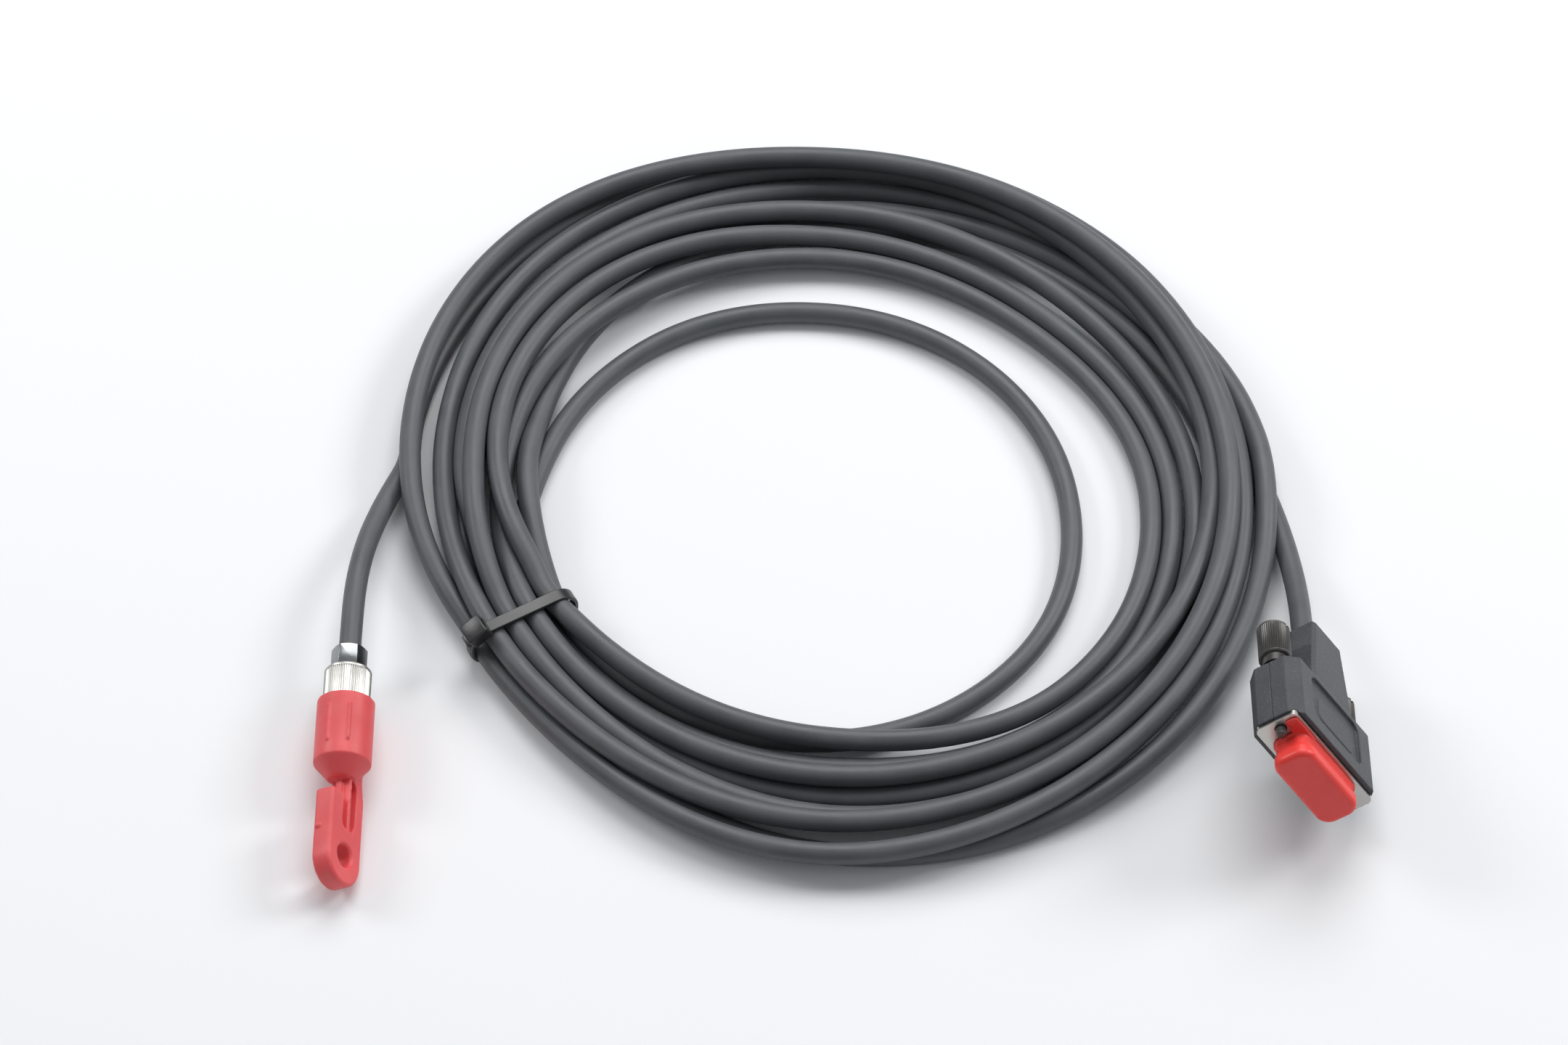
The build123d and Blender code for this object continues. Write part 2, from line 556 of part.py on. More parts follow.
with BuildPart() as cable_seal:
    with BuildSketch(Plane.XY.offset(NUT_FRONT)):
        Circle(NUT_SPIGOT_R)
        Circle(CABLE_R, mode=Mode.SUBTRACT)
    extrude(amount=SEAL_LENGTH)
save(cable_seal, "round_cable_seal", ROUND)

with BuildPart() as pinch_ring:
    with BuildSketch(Plane.XY.offset(SEAL_FRONT)):
        Circle(NUT_SPIGOT_R)
        Circle(CABLE_HOLE_R, mode=Mode.SUBTRACT)
    extrude(amount=PINCH_LENGTH)
save(pinch_ring, "round_pinch_ring", ROUND)

with BuildPart() as sleeve:
    with BuildSketch(Plane.XY.offset(HEX_LENGTH)):
        Circle(SLEEVE_R)
    extrude(amount=SLEEVE_LENGTH)
    with BuildSketch(Plane.XY.offset(HEX_LENGTH)):
        Circle(SLEEVE_BORE_R)
    extrude(amount=ROUND_CABLE_END - HEX_LENGTH, mode=Mode.SUBTRACT)
    with BuildSketch(Plane.XY.offset(ROUND_CABLE_END)):
        Circle(CARRIER_SPIGOT_R + THREAD_GAP)
    extrude(amount=SLEEVE_LENGTH, mode=Mode.SUBTRACT)
save(sleeve, "round_sleeve", ROUND)

# The contact carrier: a spigot in the sleeve, a neck that the ring turns on, a collar that keeps
# the ring from coming off the front, and the nose that goes into the mate.
with BuildPart() as carrier:
    for start, length, radius in (
        (ROUND_CABLE_END, SLEEVE_FRONT - ROUND_CABLE_END, CARRIER_SPIGOT_R),
        (SLEEVE_FRONT, CARRIER_NECK, CARRIER_NECK_R),
        (COLLAR_REAR, CARRIER_COLLAR, CARRIER_COLLAR_R),
        (NOSE_REAR, CARRIER_NOSE, CARRIER_NOSE_R),
    ):
        with BuildSketch(Plane.XY.offset(start)):
            Circle(radius)
        extrude(amount=length)
    with BuildSketch(Plane.XY.offset(ROUND_CABLE_END)):
        Circle(CARRIER_BORE_R)
    extrude(amount=NOSE_FRONT - ROUND_CABLE_END, mode=Mode.SUBTRACT)
    chamfer(carrier.edges().group_by(Axis.Z)[-1].sort_by(SortBy.RADIUS)[-1], CARRIER_NOSE_CHAMFER)
save(carrier, "round_carrier", ROUND)

with BuildPart() as face_seal:
    with BuildSketch(Plane.XY.offset(NOSE_REAR)):
        Circle(FACE_SEAL_R)
        Circle(CARRIER_NOSE_R, mode=Mode.SUBTRACT)
    extrude(amount=FACE_SEAL)
    fillet(face_seal.edges().group_by(Axis.Z)[-1].sort_by(SortBy.RADIUS)[-1], FACE_SEAL_FILLET)
save(face_seal, "round_face_seal", ROUND)

pin_places = [(0.0, 0.0)]
for step in range(PINS_ON_CIRCLE):
    pin_angle = 2 * pi * step / PINS_ON_CIRCLE
    pin_places.append((PIN_CIRCLE_R * cos(pin_angle), PIN_CIRCLE_R * sin(pin_angle)))
INSERT_BACK = SLEEVE_FRONT + INSERT_REAR
INSERT_FRONT = INSERT_BACK + INSERT_LENGTH

with BuildPart() as insert:
    with BuildSketch(Plane.XY.offset(INSERT_BACK)):
        Circle(CARRIER_BORE_R)
        with Locations(*pin_places):
            Circle(PIN_R, mode=Mode.SUBTRACT)
    extrude(amount=INSERT_LENGTH)
save(insert, "round_insert", ROUND)

for number, (x, y) in enumerate(pin_places, start=1):
    with BuildPart() as pin:
        with BuildSketch(Plane.XY.offset(INSERT_BACK - PIN_TAIL)):
            with Locations((x, y)):
                Circle(PIN_R)
        extrude(amount=PIN_TAIL + INSERT_LENGTH + PIN_REACH)
        fillet(pin.edges().group_by(Axis.Z)[-1], PIN_TIP_FILLET)
    save(pin, f"round_pin_{number}", ROUND)

# The coupling ring: a skirt round the sleeve, a shoulder that runs on the carrier's neck between
# the sleeve and the collar, and the threaded front.
SHOULDER_REAR = SLEEVE_FRONT + RING_FIT
SHOULDER_FRONT = COLLAR_REAR - RING_FIT
with BuildPart() as coupling_ring:
    with BuildSketch(Plane.XY.offset(RING_START)):
        Circle(RING_R)
    extrude(amount=RING_LENGTH)
    chamfer(coupling_ring.edges(), RING_CHAMFER)
    for start, end, radius in (
        (RING_START, SHOULDER_REAR, SLEEVE_R + RING_FIT),
        (SHOULDER_REAR, SHOULDER_FRONT, CARRIER_NECK_R + RING_FIT),
        (SHOULDER_FRONT, RING_START + RING_LENGTH, RING_THREAD_R),
    ):
        with BuildSketch(Plane.XY.offset(start)):
            Circle(radius)
        extrude(amount=end - start, mode=Mode.SUBTRACT)
save(coupling_ring, "round_coupling_ring", ROUND)

# The dust cap pushes over the ring. Behind its cone is a flat tab with a hole, joined on one side,
# so that the slit on the other side makes a hook. A groove with a rib runs down each broad face.
TAB_FRAME = placed(ROUND_BACK, tuple(-c for c in TAB_LEAN), ROUND_AXIS)
CAP_BACK = CAP_RIM + CAP_LENGTH
TAB_HALF = TAB_WIDTH / 2
TAB_TIP = CAP_RIM + TAB_END
TAB_TOP = CAP_RIM + TAB_START
HOLE_CENTRE = TAB_TIP - TAB_HOLE_FROM_END
with BuildPart() as round_cap:
    with BuildSketch(Plane.XY.offset(CAP_RIM)):
        Circle(CAP_R)
    extrude(amount=CAP_LENGTH)
    with BuildSketch(Plane.XY.offset(CAP_BACK)):
        Circle(CAP_R)
    with BuildSketch(Plane.XY.offset(CAP_BACK + CAP_CONE)):
        Circle(CAP_CONE_R)
    loft()
    with BuildSketch(Plane.YZ):
        with BuildLine():
            Polyline(
                (TAB_NECK_LEFT, CAP_BACK),
                (TAB_NECK_LEFT, TAB_TOP - TAB_HOOK_DROP),
                (TAB_NECK_LEFT - TAB_HOOK_SIDE, TAB_TOP),
                (-TAB_HALF, TAB_TOP),
                (-TAB_HALF, TAB_TIP - TAB_HALF),
            )
            ThreePointArc((-TAB_HALF, TAB_TIP - TAB_HALF), (0, TAB_TIP), (TAB_HALF, TAB_TIP - TAB_HALF))
            Polyline(
                (TAB_HALF, TAB_TIP - TAB_HALF),
                (TAB_HALF, TAB_TOP + TAB_SHOULDER_UP),
                (TAB_NECK_RIGHT + TAB_SHOULDER_SIDE, TAB_TOP - TAB_SHOULDER_DOWN),
                (TAB_NECK_RIGHT, CAP_BACK),
                (TAB_NECK_LEFT, CAP_BACK),
            )
        make_face()
    extrude(amount=TAB_THICKNESS / 2, both=True)
    with BuildSketch(Plane.YZ):
        with Locations((0, HOLE_CENTRE)):
            Circle(TAB_HOLE_R)
    extrude(amount=TAB_THICKNESS, both=True, mode=Mode.SUBTRACT)
    broad = round_cap.faces().filter_by(lambda f: abs(abs(f.center().X) - TAB_THICKNESS / 2) < 0.01)
    rim_edges = broad.edges().filter_by(lambda e: e.center().Z > TAB_TOP + 2)
    chamfer(rim_edges, TAB_EDGE)
    for face_side in (1, -1):
        groove_floor = face_side * (TAB_THICKNESS / 2 - TAB_GROOVE_DEPTH)
        with BuildSketch(Plane.YZ.offset(groove_floor)):
            with Locations((TAB_GROOVE_SHIFT, CAP_BACK + CAP_CONE + TAB_GROOVE_LENGTH / 2)):
                SlotOverall(TAB_GROOVE_LENGTH, TAB_GROOVE_WIDTH, rotation=90)
                Rectangle(TAB_RIB_WIDTH, TAB_GROOVE_LENGTH, mode=Mode.SUBTRACT)
        extrude(amount=face_side * 3 * TAB_GROOVE_DEPTH, mode=Mode.SUBTRACT)
    for rib_angle in CAP_RIB_ANGLES:
        with BuildSketch(Plane.XY.offset(CAP_RIM + (CAP_LENGTH - CAP_RIB_LENGTH) / 2)):
            with PolarLocations(CAP_R - CAP_RIB, 1, start_angle=rib_angle):
                Rectangle(4 * CAP_RIB, CAP_RIB_WIDTH)
        extrude(amount=CAP_RIB_LENGTH)
    with BuildSketch(Plane.XY.offset(CAP_RIM)):
        Circle(CAP_BORE_R)
    extrude(amount=CAP_GRIP, mode=Mode.SUBTRACT)
    with BuildSketch(Plane.XY.offset(CAP_RIM)):
        Circle(CAP_INNER_R)
    extrude(amount=CAP_BORE_DEPTH, mode=Mode.SUBTRACT)
save(round_cap, "round_cap", TAB_FRAME)

# ---- cable tie: a closed strap with its square head on the coil's outer top corner ----
tie_angle = radians(TIE_BEARING)
outward = (cos(tie_angle), sin(tie_angle), 0)
along_cable = (sin(tie_angle), -cos(tie_angle), 0)
tie_middle = (COIL_X + TIE_RADIUS * outward[0], COIL_Y + TIE_RADIUS * outward[1], 0)
TIE = placed(tie_middle, outward, along_cable)
tie_height = TIE_BUNDLE_HEIGHT / 2 + STRAP_THICKNESS
corner_x = TIE_BUNDLE_WIDTH / 2 - TIE_CORNER
corner_y = tie_height + TIE_BUNDLE_HEIGHT / 2 - TIE_CORNER
head_turn = radians(TIE_HEAD_ANGLE)
head_out = TIE_CORNER + TIE_GAP / 2 + TIE_HEAD_THICKNESS / 2
with BuildPart() as cable_tie:
    with BuildSketch(Plane.XY):
        with Locations((0, tie_height)):
            RectangleRounded(
                TIE_BUNDLE_WIDTH + 2 * STRAP_THICKNESS,
                TIE_BUNDLE_HEIGHT + 2 * STRAP_THICKNESS,
                TIE_CORNER + STRAP_THICKNESS,
            )
            RectangleRounded(TIE_BUNDLE_WIDTH, TIE_BUNDLE_HEIGHT, TIE_CORNER, mode=Mode.SUBTRACT)
    extrude(amount=STRAP_WIDTH / 2, both=True)
    with BuildSketch(Plane.XY):
        with Locations((corner_x + head_out * cos(head_turn), corner_y + head_out * sin(head_turn))):
            Rectangle(TIE_HEAD_THICKNESS, TIE_HEAD_LENGTH, rotation=TIE_HEAD_ANGLE)
        strap_out = head_out - TIE_HEAD_THICKNESS / 2 + STRAP_END_LIFT
        strap_reach = TIE_HEAD_LENGTH / 2 + STRAP_END / 2
        end_x = corner_x + strap_out * cos(head_turn) + strap_reach * sin(head_turn)
        end_y = corner_y + strap_out * sin(head_turn) - strap_reach * cos(head_turn)
    extrude(amount=TIE_HEAD_WIDTH / 2, both=True)
    with BuildSketch(Plane.XY):
        with Locations((end_x, end_y)):
            Rectangle(STRAP_THICKNESS, STRAP_END + STRAP_END_OVERLAP, rotation=TIE_HEAD_ANGLE)
    extrude(amount=STRAP_WIDTH / 2, both=True)
save(cable_tie, "cable_tie", TIE)

# ---- cable ----
# The coil is one solid of its outer shape: the radius of its outline about the coil's middle, every
# 30 degrees from +X. It is narrow where the tie grips it.
COIL_OUTER = (124, 118, 118, 121, 127, 128, 118, 110, 113, 124, 129, 128)
COIL_INNER = (84, 80, 78, 82, 84, 83, 82, 80, 78, 80, 85, 86)
COIL_HEIGHT = 12.5
COIL_TOP_FILLET = 4.5
COIL_FOOT_FILLET = 2.5


def ring_points(radii):
    """Points about the coil's middle, evenly spaced in angle, at the given radii."""
    step = 2 * pi / len(radii)
    middle_x = COIL_X + FRAME_X
    middle_y = COIL_Y + FRAME_Y
    return [
        (middle_x + radius * cos(step * i), middle_y + radius * sin(step * i))
        for i, radius in enumerate(radii)
    ]


with BuildPart() as cable_coil:
    with BuildSketch(Plane.XY):
        with BuildLine():
            Spline(*ring_points(COIL_OUTER), periodic=True)
        make_face()
        with BuildLine():
            Spline(*ring_points(COIL_INNER), periodic=True)
        make_face(mode=Mode.SUBTRACT)
    extrude(amount=COIL_HEIGHT)
    fillet(cable_coil.edges().group_by(Axis.Z)[-1], COIL_TOP_FILLET)
    fillet(cable_coil.edges().group_by(Axis.Z)[0], COIL_FOOT_FILLET)
    with BuildSketch(TIE):
        with Locations((0, tie_height)):
            Rectangle(1.5 * TIE_BUNDLE_WIDTH, 2 * TIE_BUNDLE_HEIGHT)
            RectangleRounded(
                TIE_BUNDLE_WIDTH - 2 * TIE_GAP,
                TIE_BUNDLE_HEIGHT - 2 * TIE_GAP,
                TIE_CORNER - TIE_GAP,
                mode=Mode.SUBTRACT,
            )
    extrude(amount=TIE_HEAD_WIDTH / 2 + TIE_GAP, both=True, mode=Mode.SUBTRACT)
save(cable_coil, "cable_coil")


def tube(route, name):
    """Makes a stretch of cable along a route of straight runs joined by arcs, and saves it."""
    points = [Vector(*p) + Vector(FRAME_X, FRAME_Y, 0) for p in route]
    runs = [b - a for a, b in zip(points, points[1:])]
    radii = []
    for before, after in zip(runs, runs[1:]):
        turn = radians(before.get_angle(after))
        radii.append(0.45 * min(before.length, after.length) / tan(turn / 2))
    with BuildPart() as stretch:
        with BuildLine() as path:
            FilletPolyline(*points, radius=radii)
        with BuildSketch(path.line ^ 0):
            Circle(CABLE_R)
        sweep()
    save(stretch, name)
    length = sum(edge.length for edge in path.edges())
    share = stretch.part.volume / (pi * CABLE_R**2 * length)
    print(f"{name}: {length:.0f} mm, arcs {[round(r) for r in radii]}, volume share {share:.4f}")


def along(back, axis, distance):
    """The point at a distance from a plug's back face along its axis."""
    point = Vector(*back) + Vector(*axis).normalized() * distance
    return (point.X, point.Y, point.Z)


tube(
    (
        along(DSUB_BACK, DSUB_AXIS, CAVITY_REAR),
        along(DSUB_BACK, DSUB_AXIS, -6),
        (139.2, -32, 9.6),
        (138.2, -19, 6.2),
        (136.2, -6, 3.8),
        (133.2, 6, 3.1),
        (129.4, 17, 3.05),
    ),
    "cable_dsub_tail",
)
tube(
    (
        along(ROUND_BACK, ROUND_AXIS, ROUND_CABLE_END),
        along(ROUND_BACK, ROUND_AXIS, -8),
        (-115.8, -29, 12.6),
        (-114.3, -16, 10.2),
        (-111.8, -4, 6.8),
        (-108.2, 7.5, 4.2),
        (-103.6, 18, 3.3),
    ),
    "cable_round_tail",
)

# The loose turn has slipped out of the coil and lies inside it, with both ends under the coil. Its
# radius about its own middle is the same all round, and grows where it dives under the coil.
LOOSE_X = 6.0
LOOSE_Y = -3.0
LOOSE_R = 71.0
LOOSE_STEP = 25
LOOSE_FIRST = 160
LOOSE_LAST = -65
LOOSE_ENDS = (10.0, 3.0)
loose_route = []
loose_bearings = range(LOOSE_FIRST, LOOSE_LAST - 1, -LOOSE_STEP)
for place, bearing in enumerate(loose_bearings):
    from_end = min(place, len(loose_bearings) - 1 - place)
    radius = LOOSE_R + (LOOSE_ENDS[from_end] if from_end < len(LOOSE_ENDS) else 0)
    angle = radians(bearing)
    loose_route.append((LOOSE_X + radius * cos(angle), LOOSE_Y + radius * sin(angle), CABLE_R + 0.02))
tube(loose_route, "cable_loose_turn")
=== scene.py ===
"""Looks for the coiled sensor cable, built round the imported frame. Metres, +Z up, the table is Z = 0."""

import json
import logging
import math
from dataclasses import dataclass, field
from enum import Enum

import bmesh
import bpy
import numpy as np
from mathutils import Matrix, Vector

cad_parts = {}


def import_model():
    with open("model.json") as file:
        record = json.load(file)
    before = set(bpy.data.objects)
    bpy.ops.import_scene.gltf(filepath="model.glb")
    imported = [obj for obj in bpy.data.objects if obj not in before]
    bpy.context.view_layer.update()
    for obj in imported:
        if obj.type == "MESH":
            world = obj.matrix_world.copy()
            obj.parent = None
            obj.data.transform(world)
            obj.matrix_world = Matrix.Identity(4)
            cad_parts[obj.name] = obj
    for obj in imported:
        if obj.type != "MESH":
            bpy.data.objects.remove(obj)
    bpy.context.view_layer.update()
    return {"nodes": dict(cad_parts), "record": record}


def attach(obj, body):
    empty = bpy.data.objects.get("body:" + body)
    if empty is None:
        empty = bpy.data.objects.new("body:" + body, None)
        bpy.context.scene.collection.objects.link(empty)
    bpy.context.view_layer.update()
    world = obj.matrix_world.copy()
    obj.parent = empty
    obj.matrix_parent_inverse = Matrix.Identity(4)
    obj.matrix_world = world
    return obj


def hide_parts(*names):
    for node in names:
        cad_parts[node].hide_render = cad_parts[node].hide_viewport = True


log = logging.getLogger("sensor_cable")

MM = 0.001
FRAME_SHIFT = Vector((-15.1, 84.9, 0.0))  # mm, from the table marks to the frame's origin
ROOT = "cable_and_plugs"
Point = tuple[float, float, float]


class Slot(Enum):
    """The record's material slots."""

    CABLE = "cable_jacket"
    HOOD = "hood_plastic"
    NICKEL = "nickel"
    INSULATOR = "insulator_plastic"
    GOLD = "gold"
    SPRING = "spring_steel"
    SCREW = "screw_black"
    CAP_BRIGHT = "cap_bright"
    CAP_DULL = "cap_dull"
    SEAL = "seal_rubber"
    TIE = "tie_nylon"


class ScrewEnd(Enum):
    """The D-sub plug's two thumbscrews, named by how they lie."""

    TOP = "top"
    BOTTOM = "bottom"


# ---- node trees ----


class Graph:
    """A short way to add nodes to one tree and to join them."""

    def __init__(self, tree: bpy.types.NodeTree) -> None:
        """Args:
        tree: the shader or geometry tree that the nodes go into.
        """
        self.tree = tree

    def add(self, kind: str, settings: dict | None = None, **values: object) -> bpy.types.Node:
        """Adds a node.

        Args:
            kind: the node's type name.
            settings: attributes of the node itself.
            values: input values, or sockets to link, by input name with spaces as underscores.

        Returns:
            The new node.
        """
        node = self.tree.nodes.new(kind)
        for name, value in (settings or {}).items():
            setattr(node, name, value)
        for name, value in values.items():
            key = int(name[1:]) if name[0] == "i" and name[1:].isdigit() else name.replace("_", " ")
            self.put(node.inputs[key], value)
        return node

    def put(self, socket: bpy.types.NodeSocket, value: object) -> None:
        """Links a socket into an input, or sets the input's value."""
        if isinstance(value, bpy.types.NodeSocket):
            self.tree.links.new(value, socket)
        else:
            socket.default_value = value

    def math(self, operation: str, first: object, second: object = 0.0) -> bpy.types.NodeSocket:
        """A Math node's result for two values or sockets."""
        node = self.add("ShaderNodeMath", {"operation": operation}, i0=first, i1=second)
        return node.outputs[0]

    def mix(self, factor: object, first: object, second: object) -> bpy.types.NodeSocket:
        """The mix of two colours by a factor."""
        node = self.add("ShaderNodeMix", {"data_type": "RGBA"})
        for index, value in ((0, factor), (6, first), (7, second)):
            self.put(node.inputs[index], value)
        return node.outputs[2]

    def finish_geometry(self, geometry: object, given: bpy.types.Node, out: bpy.types.Node) -> None:
        """Ends a geometry tree: real geometry with the given material."""
        real = self.add("GeometryNodeRealizeInstances", None, Geometry=geometry).outputs[0]
        material = given.outputs["Material"]
        coated = self.add("GeometryNodeSetMaterial", None, Geometry=real, Material=material)
        self.put(out.inputs[0], coated.outputs[0])

    def group(self, tree: bpy.types.NodeTree, **values: object) -> bpy.types.Node:
        """Places a shared shader group with its own values."""
        return self.add("ShaderNodeGroup", {"node_tree": tree}, **values)

    def noise(self, vector: object, scale: object, detail: float, **more: float) -> bpy.types.NodeSocket:
        """A noise texture's value."""
        values = {"Vector": vector, "Scale": scale, "Detail": detail} | more
        return self.add("ShaderNodeTexNoise", None, **values).outputs[0]

    def vector_math(self, operation: str, **values: object) -> bpy.types.bpy_prop_collection:
        """A Vector Math node's outputs."""
        return self.add("ShaderNodeVectorMath", {"operation": operation}, **values).outputs

    def split(self, vector: object) -> bpy.types.bpy_prop_collection:
        """The three parts of a vector."""
        return self.add("ShaderNodeSeparateXYZ", None, Vector=vector).outputs

    def remap(self, value: object, low: float, high: float, start: float, end: float) -> object:
        """A value's place between low and high, clamped and mapped to start and end."""
        node = self.add("ShaderNodeMapRange", {"clamp": True}, i0=value, i1=low, i2=high, i3=start, i4=end)
        return node.outputs[0]


def new_group(name: str, kind: str, inputs: dict[str, tuple], outputs: dict[str, str]) -> tuple:
    """Makes an empty node group with named sockets.

    Args:
        name: the group's name.
        kind: "ShaderNodeTree" or "GeometryNodeTree".
        inputs: socket type and default value (None for none) by input name.
        outputs: socket type by output name.

    Returns:
        The graph, its input node and its output node.
    """
    tree = bpy.data.node_groups.new(name, kind)
    for label, (socket_type, value) in inputs.items():
        socket = tree.interface.new_socket(name=label, in_out="INPUT", socket_type=socket_type)
        if value is not None:
            socket.default_value = value
    for label, socket_type in outputs.items():
        tree.interface.new_socket(name=label, in_out="OUTPUT", socket_type=socket_type)
    return Graph(tree), tree.nodes.new("NodeGroupInput"), tree.nodes.new("NodeGroupOutput")


FLOAT = "NodeSocketFloat"
COLOUR = "NodeSocketColor"
VECTOR = "NodeSocketVector"


class Effects:
    """The shader groups that the finishes share, each built once."""

    def __init__(self) -> None:
        """Builds every group."""
        self.grain_and_glints = self._grain_and_glints()
        self.drift = self._drift()
        self.wear_and_highlight = self._wear_and_highlight()
        self.dust = self._dust()

    def _grain_and_glints(self) -> bpy.types.NodeTree:
        """Fine grain of a moulded or drawn surface, as a height and as a mask of specks, where painted glints
        stand in for the grain's sparkle.
        """
        graph, given, out = new_group(
            "surface_grain_and_glints",
            "ShaderNodeTree",
            {"Vector": (VECTOR, None), "Scale": (FLOAT, 4000.0), "Speck": (FLOAT, 0.6)},
            {"Height": FLOAT, "Glints": FLOAT},
        )
        vector, scale = given.outputs["Vector"], given.outputs["Scale"]
        fine = graph.noise(vector, scale, 3.0, Roughness=0.6)
        half = graph.math("MULTIPLY", scale, 0.45)
        cells = graph.add("ShaderNodeTexVoronoi", None, Vector=vector, Scale=half)
        height = graph.math("ADD", fine, graph.math("MULTIPLY", cells.outputs[0], 0.6))
        graph.put(out.inputs["Height"], height)
        # painted glints: the highest grain gives the specks that a light colour is mixed into
        above = graph.math("SUBTRACT", fine, given.outputs["Speck"])
        graph.put(out.inputs["Glints"], graph.remap(above, 0.0, 0.08, 0.0, 1.0))
        return graph.tree

    def _drift(self) -> bpy.types.NodeTree:
        """Slow change of tone between two colours over a piece."""
        graph, given, out = new_group(
            "tone_drift",
            "ShaderNodeTree",
            {
                "Vector": (VECTOR, None),
                "Scale": (FLOAT, 60.0),
                "Tone": (COLOUR, (0.5, 0.5, 0.5, 1.0)),
                "Other Tone": (COLOUR, (0.4, 0.4, 0.4, 1.0)),
            },
            {"Color": COLOUR, "Cloud": FLOAT},
        )
        cloud = graph.noise(given.outputs["Vector"], given.outputs["Scale"], 4.0)
        share = graph.remap(cloud, 0.35, 0.65, 0.0, 1.0)
        tone = graph.mix(share, given.outputs["Tone"], given.outputs["Other Tone"])
        graph.put(out.inputs["Color"], tone)
        graph.put(out.inputs["Cloud"], share)
        return graph.tree

    def _wear_and_highlight(self) -> bpy.types.NodeTree:
        """A rounded normal for sharp edges, and a mask of the strip along them, for edge wear and a painted
        edge highlight.
        """
        graph, given, out = new_group(
            "edge_wear_and_highlight",
            "ShaderNodeTree",
            {"Vector": (VECTOR, None), "Width": (FLOAT, 0.0003)},
            {"Mask": FLOAT, "Normal": VECTOR},
        )
        bevel = graph.add("ShaderNodeBevel", {"samples": 6}, Radius=given.outputs["Width"])
        plain = graph.add("ShaderNodeNewGeometry")
        match = graph.vector_math("DOT_PRODUCT", i0=bevel.outputs[0], i1=plain.outputs["Normal"])
        turned = graph.remap(match["Value"], 0.995, 0.86, 0.0, 1.0)
        patch = graph.noise(given.outputs["Vector"], 900.0, 3.0)
        broken = graph.remap(patch, 0.38, 0.62, 0.15, 1.0)
        graph.put(out.inputs["Mask"], graph.math("MULTIPLY", turned, broken))
        graph.put(out.inputs["Normal"], bevel.outputs[0])
        return graph.tree

    def _dust(self) -> bpy.types.NodeTree:
        """Thin dust and lint on faces that look up."""
        graph, given, out = new_group(
            "table_dust",
            "ShaderNodeTree",
            {"Vector": (VECTOR, None), "Amount": (FLOAT, 0.3)},
            {"Mask": FLOAT},
        )
        facing = graph.add("ShaderNodeNewGeometry")
        up = graph.remap(graph.split(facing.outputs["Normal"])[2], 0.1, 0.95, 0.0, 1.0)
        film = graph.remap(graph.noise(given.outputs["Vector"], 180.0, 5.0), 0.4, 0.75, 0.0, 0.6)
        specks_and_glints = graph.remap(graph.noise(given.outputs["Vector"], 2600.0, 2.0), 0.66, 0.72, 0.0, 1.0)
        dirt = graph.math("MULTIPLY", graph.math("MAXIMUM", film, specks_and_glints), up)
        graph.put(out.inputs["Mask"], graph.math("MULTIPLY", dirt, given.outputs["Amount"]))
        return graph.tree


